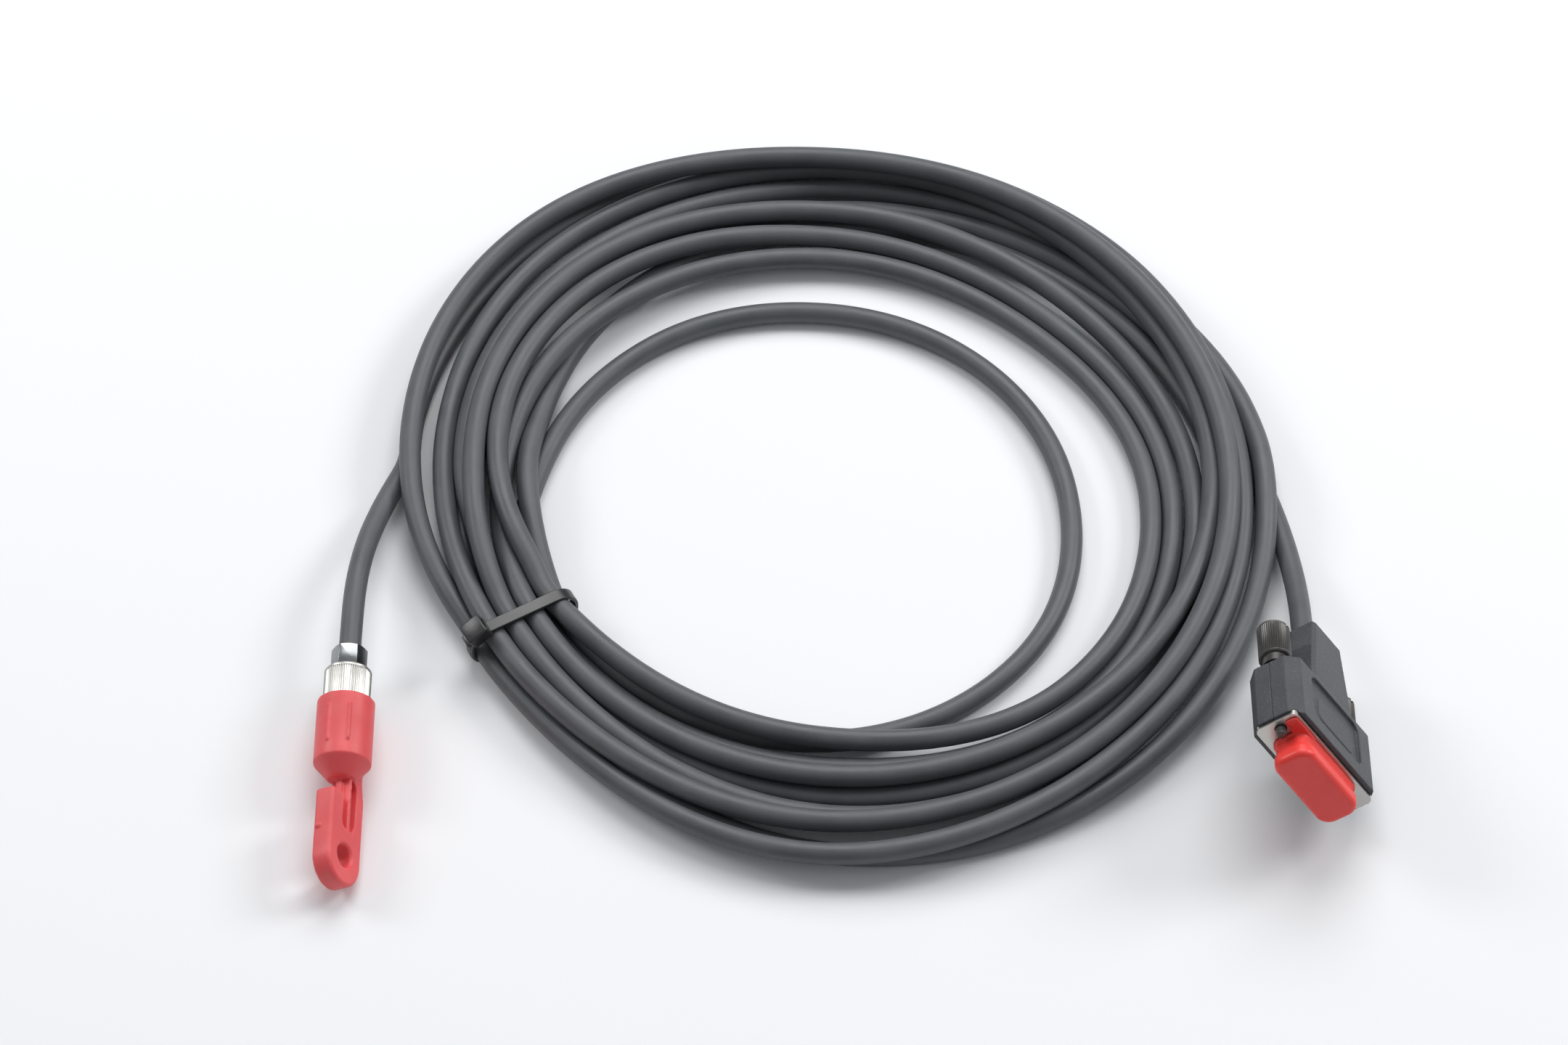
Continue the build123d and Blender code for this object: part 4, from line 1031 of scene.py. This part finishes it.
        def hold() -> None:
            """Keeps the turns on the table and, at the tie, inside its loop."""
            height[free] = np.maximum(height, lowest)[free]
            inner = TIE_RADIUS - self.tie_half_width
            outer = TIE_RADIUS + self.tie_half_width
            radius[near_tie] = np.clip(radius[near_tie], inner, outer)
            height[near_tie] = np.minimum(height[near_tie], self.tie_top)

        for number in range(self.passes):
            if number < self.passes * 0.8:
                height[free] -= 0.12
                radius[free] += 0.03 * (wanted - radius)[free]
            for _ in range(2):
                height[:] = relax(height, np.zeros_like(height))
                radius[:] = relax(radius, wanted)
            for _ in range(3):
                push(1.0)
                hold()
        for _ in range(self.last_passes):
            push(0.7)
            height[free] = np.maximum(height, lowest)[free]
        turned = np.radians(bearing[free])
        x = COIL_MIDDLE[0] + radius[free] * np.cos(turned)
        y = COIL_MIDDLE[1] + radius[free] * np.sin(turned)
        return np.stack([x, y, height[free]], axis=1)

    def _neighbours(self, bearing: np.ndarray) -> tuple[np.ndarray, np.ndarray]:
        """Pairs of points of different turns on the same bearing."""
        around = 360 // self.step
        column = ((bearing - bearing[0]) // self.step) % around
        turn = (bearing - bearing[0]) // 360
        table = -np.ones((int(turn.max()) + 1, around), int)
        table[turn, column] = np.arange(len(bearing))
        pairs = []
        for low in range(len(table)):
            for high in range(low + 1, len(table)):
                both = (table[low] >= 0) & (table[high] >= 0)
                pairs.append(np.stack([table[low][both], table[high][both]]))
        joined = np.concatenate(pairs, axis=1)
        return joined[0], joined[1]

    def build(self, shop: Workshop) -> bpy.types.Object:
        """Makes the cable as one smooth line with a round section.

        Args:
            shop: the nodes and materials.

        Returns:
            The cable.
        """
        points = [*self.dsub_tail, *map(tuple, self.wind()), *reversed(self.round_tail)]
        data = bpy.data.curves.new("cable", "CURVE")
        data.dimensions = "3D"
        data.bevel_depth = self.diameter / 2 * MM
        data.bevel_resolution = 6
        data.use_fill_caps = True
        line = data.splines.new("NURBS")
        line.points.add(len(points) - 1)
        for point, place in zip(line.points, points):
            point.co = (*((Vector(place) + FRAME_SHIFT) * MM), 1.0)
        line.order_u = 3
        line.use_endpoint_u = True
        line.resolution_u = 4
        cable = link("cable", data)
        shop.deliver(
            cable, Slot.CABLE, ROOT, "cable_coil", "cable_dsub_tail", "cable_round_tail", "cable_loose_turn"
        )
        return cable

    def declare(self, cable: bpy.types.Object) -> None:
        """Logs the cable's length, measured along its middle."""
        bare = cable.data.copy()
        bare.bevel_depth = 0.0
        line = link("cable_line", bare)
        graph = bpy.context.evaluated_depsgraph_get()
        mesh = bpy.data.meshes.new_from_object(line.evaluated_get(graph))
        points = [v.co.copy() for v in mesh.vertices]
        bpy.data.objects.remove(line)
        measured = sum((b - a).length for a, b in zip(points, points[1:]))
        log.info("cable: %.3f m along its middle", measured)


# ---- cable tie ----


@dataclass
class CableTie:
    """A nylon tie: strap, square head, cut end and the teeth on the strap's outer side. Mm."""

    inner_width: float = 30.4
    inner_height: float = 11.6
    corner: float = 5.0
    strap_width: float = 3.6
    strap_thickness: float = 1.1
    head_length: float = 6.2
    head_width: float = 6.2
    head_thickness: float = 4.4
    head_angle: float = 62.0
    end_length: float = 0.9
    head_gap: float = 0.15
    head_round: float = 0.5
    window_depth: float = 1.5
    window_place: float = 0.9
    pawl_depth: float = 1.0
    rim_depth: float = 0.6
    rim_place: float = -2.1
    end_lift: float = 1.2
    end_hidden: float = 1.0  # of the cut end, inside the head
    strap_round: float = 0.22
    tooth_pitch: float = 0.9
    tooth_height: float = 0.28
    tooth_share: float = 0.62  # of the strap's width
    foot_clear: float = 1.2

    def place(self) -> Place:
        """The tie's own frame: X out from the coil, Y up, Z along the cable."""
        angle = math.radians(TIE_BEARING)
        outward = (math.cos(angle), math.sin(angle), 0.0)
        middle = (COIL_MIDDLE[0] + TIE_RADIUS * outward[0], COIL_MIDDLE[1] + TIE_RADIUS * outward[1], 0.0)
        return Place(middle, outward, (outward[1], -outward[0], 0.0))

    def _loop(self, grow: float, steps: int = 8) -> list[tuple[float, float]]:
        """The rounded rectangle round the turns, grown by a distance."""
        half_width = self.inner_width / 2
        half_height = self.inner_height / 2
        middle = half_height + self.strap_thickness
        radius = self.corner + grow
        loop = []
        for quarter, (x_side, y_side) in enumerate(((1, 1), (-1, 1), (-1, -1), (1, -1))):
            for step in range(steps + 1):
                angle = math.pi / 2 * (quarter + step / steps)
                x = x_side * (half_width - self.corner) + radius * math.cos(angle)
                y = middle + y_side * (half_height - self.corner) + radius * math.sin(angle)
                loop.append((x, y))
        return loop

    def _strap(self) -> bpy.types.Object:
        """The strap's closed band, with rounded edges."""
        half = self.strap_width / 2
        edge = self.strap_round
        section = [
            (0.0, -half + edge),
            (0.0, half - edge),
            (edge, half),
            (self.strap_thickness - edge, half),
            (self.strap_thickness, half - edge),
            (self.strap_thickness, -half + edge),
            (self.strap_thickness - edge, -half),
            (edge, -half),
        ]
        shape = bmesh.new()
        rows = []
        for grow, z in section:
            rows.append([shape.verts.new((x * MM, y * MM, z * MM)) for x, y in self._loop(grow)])
        for low, high in zip(rows, rows[1:] + rows[:1]):
            for step in range(len(low)):
                after = (step + 1) % len(low)
                shape.faces.new((low[step], low[after], high[after], high[step]))
        bmesh.ops.recalc_face_normals(shape, faces=shape.faces)
        return linked_shape("strap", shape)

    def _teeth_tree(self) -> bpy.types.NodeTree:
        """Geometry Nodes that set small ridges at even steps along a line of points."""
        inputs = {
            "Geometry": ("NodeSocketGeometry", None),
            "Pitch": (FLOAT, 0.001),
            "Length": (FLOAT, 0.002),
            "Height": (FLOAT, 0.0003),
            "Material": ("NodeSocketMaterial", None),
        }
        outputs = {"Geometry": "NodeSocketGeometry"}
        graph, given, out = new_group("strap_teeth", "GeometryNodeTree", inputs, outputs)
        curve = graph.add("GeometryNodeMeshToCurve", None, Mesh=given.outputs["Geometry"])
        pitch = given.outputs["Pitch"]
        by_length = {"mode": "LENGTH"}
        spaced = graph.add("GeometryNodeResampleCurve", by_length, Curve=curve.outputs[0], Length=pitch)
        size = graph.add(
            "ShaderNodeCombineXYZ",
            None,
            X=graph.math("MULTIPLY", pitch, 0.55),
            Y=given.outputs["Height"],
            Z=given.outputs["Length"],
        )
        ridge = graph.add("GeometryNodeMeshCube", None, Size=size.outputs[0])
        tangent = graph.add("GeometryNodeInputTangent")
        turn = graph.add(
            "FunctionNodeAlignRotationToVector", {"axis": "X", "pivot_axis": "Z"}, Vector=tangent.outputs[0]
        )
        placed = graph.add(
            "GeometryNodeInstanceOnPoints",
            None,
            Points=spaced.outputs[0],
            Instance=ridge.outputs[0],
            Rotation=turn.outputs[0],
        )
        graph.finish_geometry(placed.outputs[0], given, out)
        return graph.tree

    def _teeth(self, shop: Workshop) -> bpy.types.Object:
        """The ridges on the outer side of the strap, from the head down round the foot."""
        loop = self._loop(self.strap_thickness)
        last_corner = 3 * len(loop) // 4
        outer = [point for point in loop[last_corner:] + loop[:3] if point[1] > self.foot_clear]
        shape = bmesh.new()
        line = [shape.verts.new((x * MM, y * MM, 0.0)) for x, y in outer]
        for first, second in zip(line, line[1:]):
            shape.edges.new((first, second))
        teeth = linked_shape("teeth", shape)
        sizes = {"Pitch": self.tooth_pitch * MM, "Height": self.tooth_height * MM}
        sizes["Length"] = self.strap_width * self.tooth_share * MM
        run_tree(teeth, self._teeth_tree(), shop.materials[Slot.TIE], sizes)
        return teeth

    def _head(self) -> list[bpy.types.Object]:
        """The head with its window, and the cut end of the strap that stands out of it."""
        turn = math.radians(self.head_angle)
        corner_x = self.inner_width / 2 - self.corner
        corner_y = self.inner_height + self.strap_thickness - self.corner
        out = self.corner + self.head_gap + self.head_thickness / 2
        spin = Matrix.Rotation(turn, 4, "Z")
        spot = Vector((corner_x + out * math.cos(turn), corner_y + out * math.sin(turn), 0.0)) * MM
        length, width, strap = self.head_length, self.head_width, self.strap_width
        head = block("tie_head", (self.head_thickness, length, width), (0, 0, 0), self.head_round)
        window_size = (self.window_depth, length * 1.2, strap * 0.8)
        cut(head, block("window", window_size, (self.window_place, 0, 0), 0.1))
        pawl = block("pawl", (self.pawl_depth, length * 0.7, strap * 0.55), (1.0, -0.3, 0), 0.15)
        rim = block("head_step", (self.rim_depth, length * 0.8, width * 0.8), (self.rim_place, 0, 0), 0.2)
        lift = self.end_lift - self.head_thickness / 2
        reach = -(length + self.end_length) / 2
        end_size = (self.strap_thickness, self.end_length + self.end_hidden, strap)
        end = block("strap_end", end_size, (lift, reach, 0), 0.15)
        parts = [head, pawl, rim, end]
        for part in parts:
            part.data.transform(Matrix.Translation(spot) @ spin)
        return parts

    def build(self, shop: Workshop) -> bpy.types.Object:
        """Makes the tie and puts it round the coil."""
        tie = join("cable_tie_detail", [self._strap(), self._teeth(shop), *self._head()])
        tie.data.transform(self.place().matrix())
        smooth_faces(tie.data)
        shop.deliver(tie, Slot.TIE, ROOT, "cable_tie")
        return tie


# ---- round plug ----


@dataclass
class RoundPlug:
    """The round screw-lock plug under its dull red dust cap. Mm, from the back of the hexagon."""

    ring_radius: float = 6.35
    ring_start: float = 6.6
    ring_end: float = 26.0
    ring_chamfer: float = 0.5
    skirt_radius: float = 5.0
    neck_radius: float = 4.1
    thread_radius: float = 4.7
    shoulder: tuple[float, float] = (12.6, 16.9)
    grooves: int = 62
    groove_depth: float = 0.26
    groove_start: float = 7.6
    groove_end: float = 25.2
    run_out: float = 0.35
    cap_radius: float = 7.75
    rib_angles: tuple[float, ...] = (47.0, 89.0, 227.0, 269.0)
    rib_height: float = 0.5
    rib_width: float = 0.8
    rib_start: float = 20.0
    rib_end: float = 31.0
    flare: Point = (0.0, 5.8, 37.6)
    flare_reach: float = 5.0
    flare_rounds: int = 60
    nub: Point = (1.2, -7.3, 55.9)
    nub_size: Point = (1.9, 1.1, 1.2)
    cap_voxel: float = 0.24
    cap_rounds: int = 4
    cap_keep: float = 0.35

    def _ring(self, shop: Workshop) -> bpy.types.Object:
        """The grooved coupling ring."""
        radius = self.ring_radius
        edge = radius - self.ring_chamfer
        low, high = self.groove_start, self.groove_end
        profile = [(edge, self.ring_start), (radius, self.ring_start + self.ring_chamfer)]
        profile += [(radius, row) for row in (low, low + self.run_out, high - self.run_out, high)]
        profile += [(radius, self.ring_end - self.ring_chamfer), (edge, self.ring_end)]
        profile += [(self.thread_radius, self.ring_end), (self.thread_radius, self.shoulder[1])]
        profile += [(self.neck_radius, self.shoulder[1]), (self.neck_radius, self.shoulder[0])]
        profile += [(self.skirt_radius, self.shoulder[0]), (self.skirt_radius, self.ring_start)]
        ring = lathe("round_ring_grooved", profile, self.grooves * 6, closed=True)
        GrooveTree("ring_grooves").press(
            ring,
            shop.materials[Slot.NICKEL],
            self.grooves,
            Radius=radius,
            Start=low,
            End=high,
            Depth=self.groove_depth,
            Run_Out=self.run_out,
        )
        ring.data.transform(ROUND_PLACE.matrix())
        smooth_faces(ring.data, 28.0)
        return ring

    def _cap(self, shop: Workshop) -> bpy.types.Object:
        """The soft dust cap with its hooked, grooved tab, the ribs on its barrel and a moulding nub."""
        neck = TAB_PLACE.matrix() @ (Vector(self.flare) * MM)
        spot = SoftSpot(tuple(neck), self.flare_reach * MM, self.flare_rounds)
        extras = []
        size = (self.rib_height * 2, self.rib_width, self.rib_end - self.rib_start)
        middle = (self.cap_radius, 0.0, (self.rib_start + self.rib_end) / 2)
        for angle in self.rib_angles:
            rib = block("cap_rib", size, middle, self.rib_height * 0.7)
            rib.data.transform(TAB_PLACE.matrix() @ Matrix.Rotation(math.radians(angle), 4, "Z"))
            extras.append(rib)
        nub = block("cap_nub", self.nub_size, self.nub, 0.25)
        nub.data.transform(TAB_PLACE.matrix())
        extras.append(nub)
        node, cells = shop.nodes["round_cap"], self.cap_voxel * MM
        return moulded(
            node, "round_cap_moulded", cells, self.cap_rounds, self.cap_keep, spot, tuple(extras)
        )

    def build(self, shop: Workshop) -> list[bpy.types.Object]:
        """Makes the plug's pieces.

        Args:
            shop: the nodes and materials.

        Returns:
            The pieces that lie on the cable's far end.
        """
        nut = bevelled(shop.nodes["round_clamp_nut"], "round_nut_edged", 0.12 * MM)
        shop.deliver(nut, Slot.NICKEL, ROOT, "round_clamp_nut")
        nut.data.materials[0] = shop.nut_material
        ring = self._ring(shop)
        shop.deliver(ring, Slot.NICKEL, "round_ring", "round_coupling_ring")
        cap = self._cap(shop)
        shop.deliver(cap, Slot.CAP_DULL, "round_dust_cap", "round_cap")
        inner = ["round_cable_seal", "round_pinch_ring", "round_sleeve", "round_carrier", "round_face_seal"]
        inner += ["round_insert", *(f"round_pin_{number}" for number in range(1, 9))]
        return [nut, ring, cap, *(shop.nodes[name] for name in inner)]


# ---- D-sub plug ----


@dataclass
class DsubPlug:
    """The 15-way D-sub plug under its bright red cap. Mm, from the back of the boot."""

    head_radius: float = 4.4
    head_start: float = 8.3
    head_end: float = 20.3
    collar_radius: float = 3.6
    collar_end: float = 23.0
    head_chamfer_rear: float = 0.7
    head_chamfer_front: float = 0.4
    shank_radius: float = 1.15
    clip_groove_radius: float = 0.85
    clip_groove: tuple[float, float] = (33.74, 34.66)
    tip_radius: float = 1.42
    tip_start: float = 45.9
    tip_end: float = 48.4
    tip_chamfer: float = 0.4
    thread_pitch: float = 0.635
    thread_depth: float = 0.28
    slot_width: float = 1.0
    slot_depth: float = 1.6
    screw_x: float = 16.65
    grooves: int = 44
    groove_depth: float = 0.3
    run_out: float = 0.35

    def _screw(self, shop: Workshop, end: ScrewEnd, tree: GrooveTree) -> bpy.types.Object:
        """A thumbscrew with a grooved head, a screwdriver slot and a threaded tip."""
        radius = self.head_radius
        low = self.head_start + self.head_chamfer_rear + 0.25
        high = self.head_end - self.head_chamfer_front - 0.25
        profile = [(0.0, self.head_start), (radius - self.head_chamfer_rear, self.head_start)]
        profile += [(radius, self.head_start + self.head_chamfer_rear)]
        profile += [(radius, row) for row in (low, low + self.run_out, high - self.run_out, high)]
        profile += [(radius, self.head_end - self.head_chamfer_front)]
        profile += [(radius - self.head_chamfer_front, self.head_end), (self.collar_radius, self.head_end)]
        profile += [(self.collar_radius, self.collar_end), (self.shank_radius, self.collar_end)]
        profile += [(self.shank_radius, self.clip_groove[0]), (self.clip_groove_radius, self.clip_groove[0])]
        profile += [(self.clip_groove_radius, self.clip_groove[1]), (self.shank_radius, self.clip_groove[1])]
        profile += [(self.shank_radius, self.tip_start)]
        height = self.tip_start
        while height + self.thread_pitch < self.tip_end - self.tip_chamfer:
            profile += [(self.tip_radius, height + 0.05)]
            profile += [(self.tip_radius, height + self.thread_pitch * 0.35)]
            profile += [(self.tip_radius - self.thread_depth, height + self.thread_pitch * 0.7)]
            height += self.thread_pitch
        profile += [(self.tip_radius, height + 0.1), (self.tip_radius, self.tip_end - self.tip_chamfer)]
        profile += [(self.tip_radius - self.tip_chamfer, self.tip_end), (0.0, self.tip_end)]
        screw = lathe(f"thumbscrew_{end.value}", profile, self.grooves * 6, closed=False)
        tree.press(
            screw,
            shop.materials[Slot.SCREW],
            self.grooves,
            Radius=radius,
            Start=low,
            End=high,
            Depth=self.groove_depth,
            Run_Out=self.run_out,
        )
        slot_size = (self.slot_width, radius * 3, self.slot_depth * 2)
        cut(screw, block("slot", slot_size, (0, 0, self.head_start), 0.0))
        side = -self.screw_x if end is ScrewEnd.TOP else self.screw_x
        screw.data.transform(DSUB_PLACE.matrix() @ Matrix.Translation((side * MM, 0, 0)))
        smooth_faces(screw.data, 28.0)
        return screw

    def build(self, shop: Workshop) -> None:
        """Makes the plug's pieces."""
        tree = GrooveTree("screw_grooves")
        for end in ScrewEnd:
            screw = self._screw(shop, end, tree)
            shop.deliver(screw, Slot.SCREW, f"screw_{end.value}", f"dsub_thumbscrew_{end.value}")
        for side in ("upper", "lower"):
            node = f"dsub_hood_{side}"
            shell = moulded(shop.nodes[node], f"hood_{side}_moulded", 0.22 * MM, 2, 0.3)
            shop.deliver(shell, Slot.HOOD, ROOT, node)
        cap = moulded(shop.nodes["dsub_cap"], "dsub_cap_moulded", 0.24 * MM, 6, 0.4)
        shop.deliver(cap, Slot.CAP_BRIGHT, "dsub_dust_cap", "dsub_cap")


def main() -> None:
    """Builds the scene: stage, cable, then each plug and the tie."""
    logging.basicConfig(level=logging.INFO, format="%(message)s")
    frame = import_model()
    Studio().build()
    shop = Workshop(frame["nodes"], record=frame["record"])
    shop.mix_finishes()
    shop.dress_frame()
    coil = CableCoil()
    cable = coil.build(shop)
    tie = CableTie().build(shop)
    far_end = RoundPlug().build(shop)
    DsubPlug().build(shop)
    coil.declare(cable)


if __name__ == "__main__":
    main()
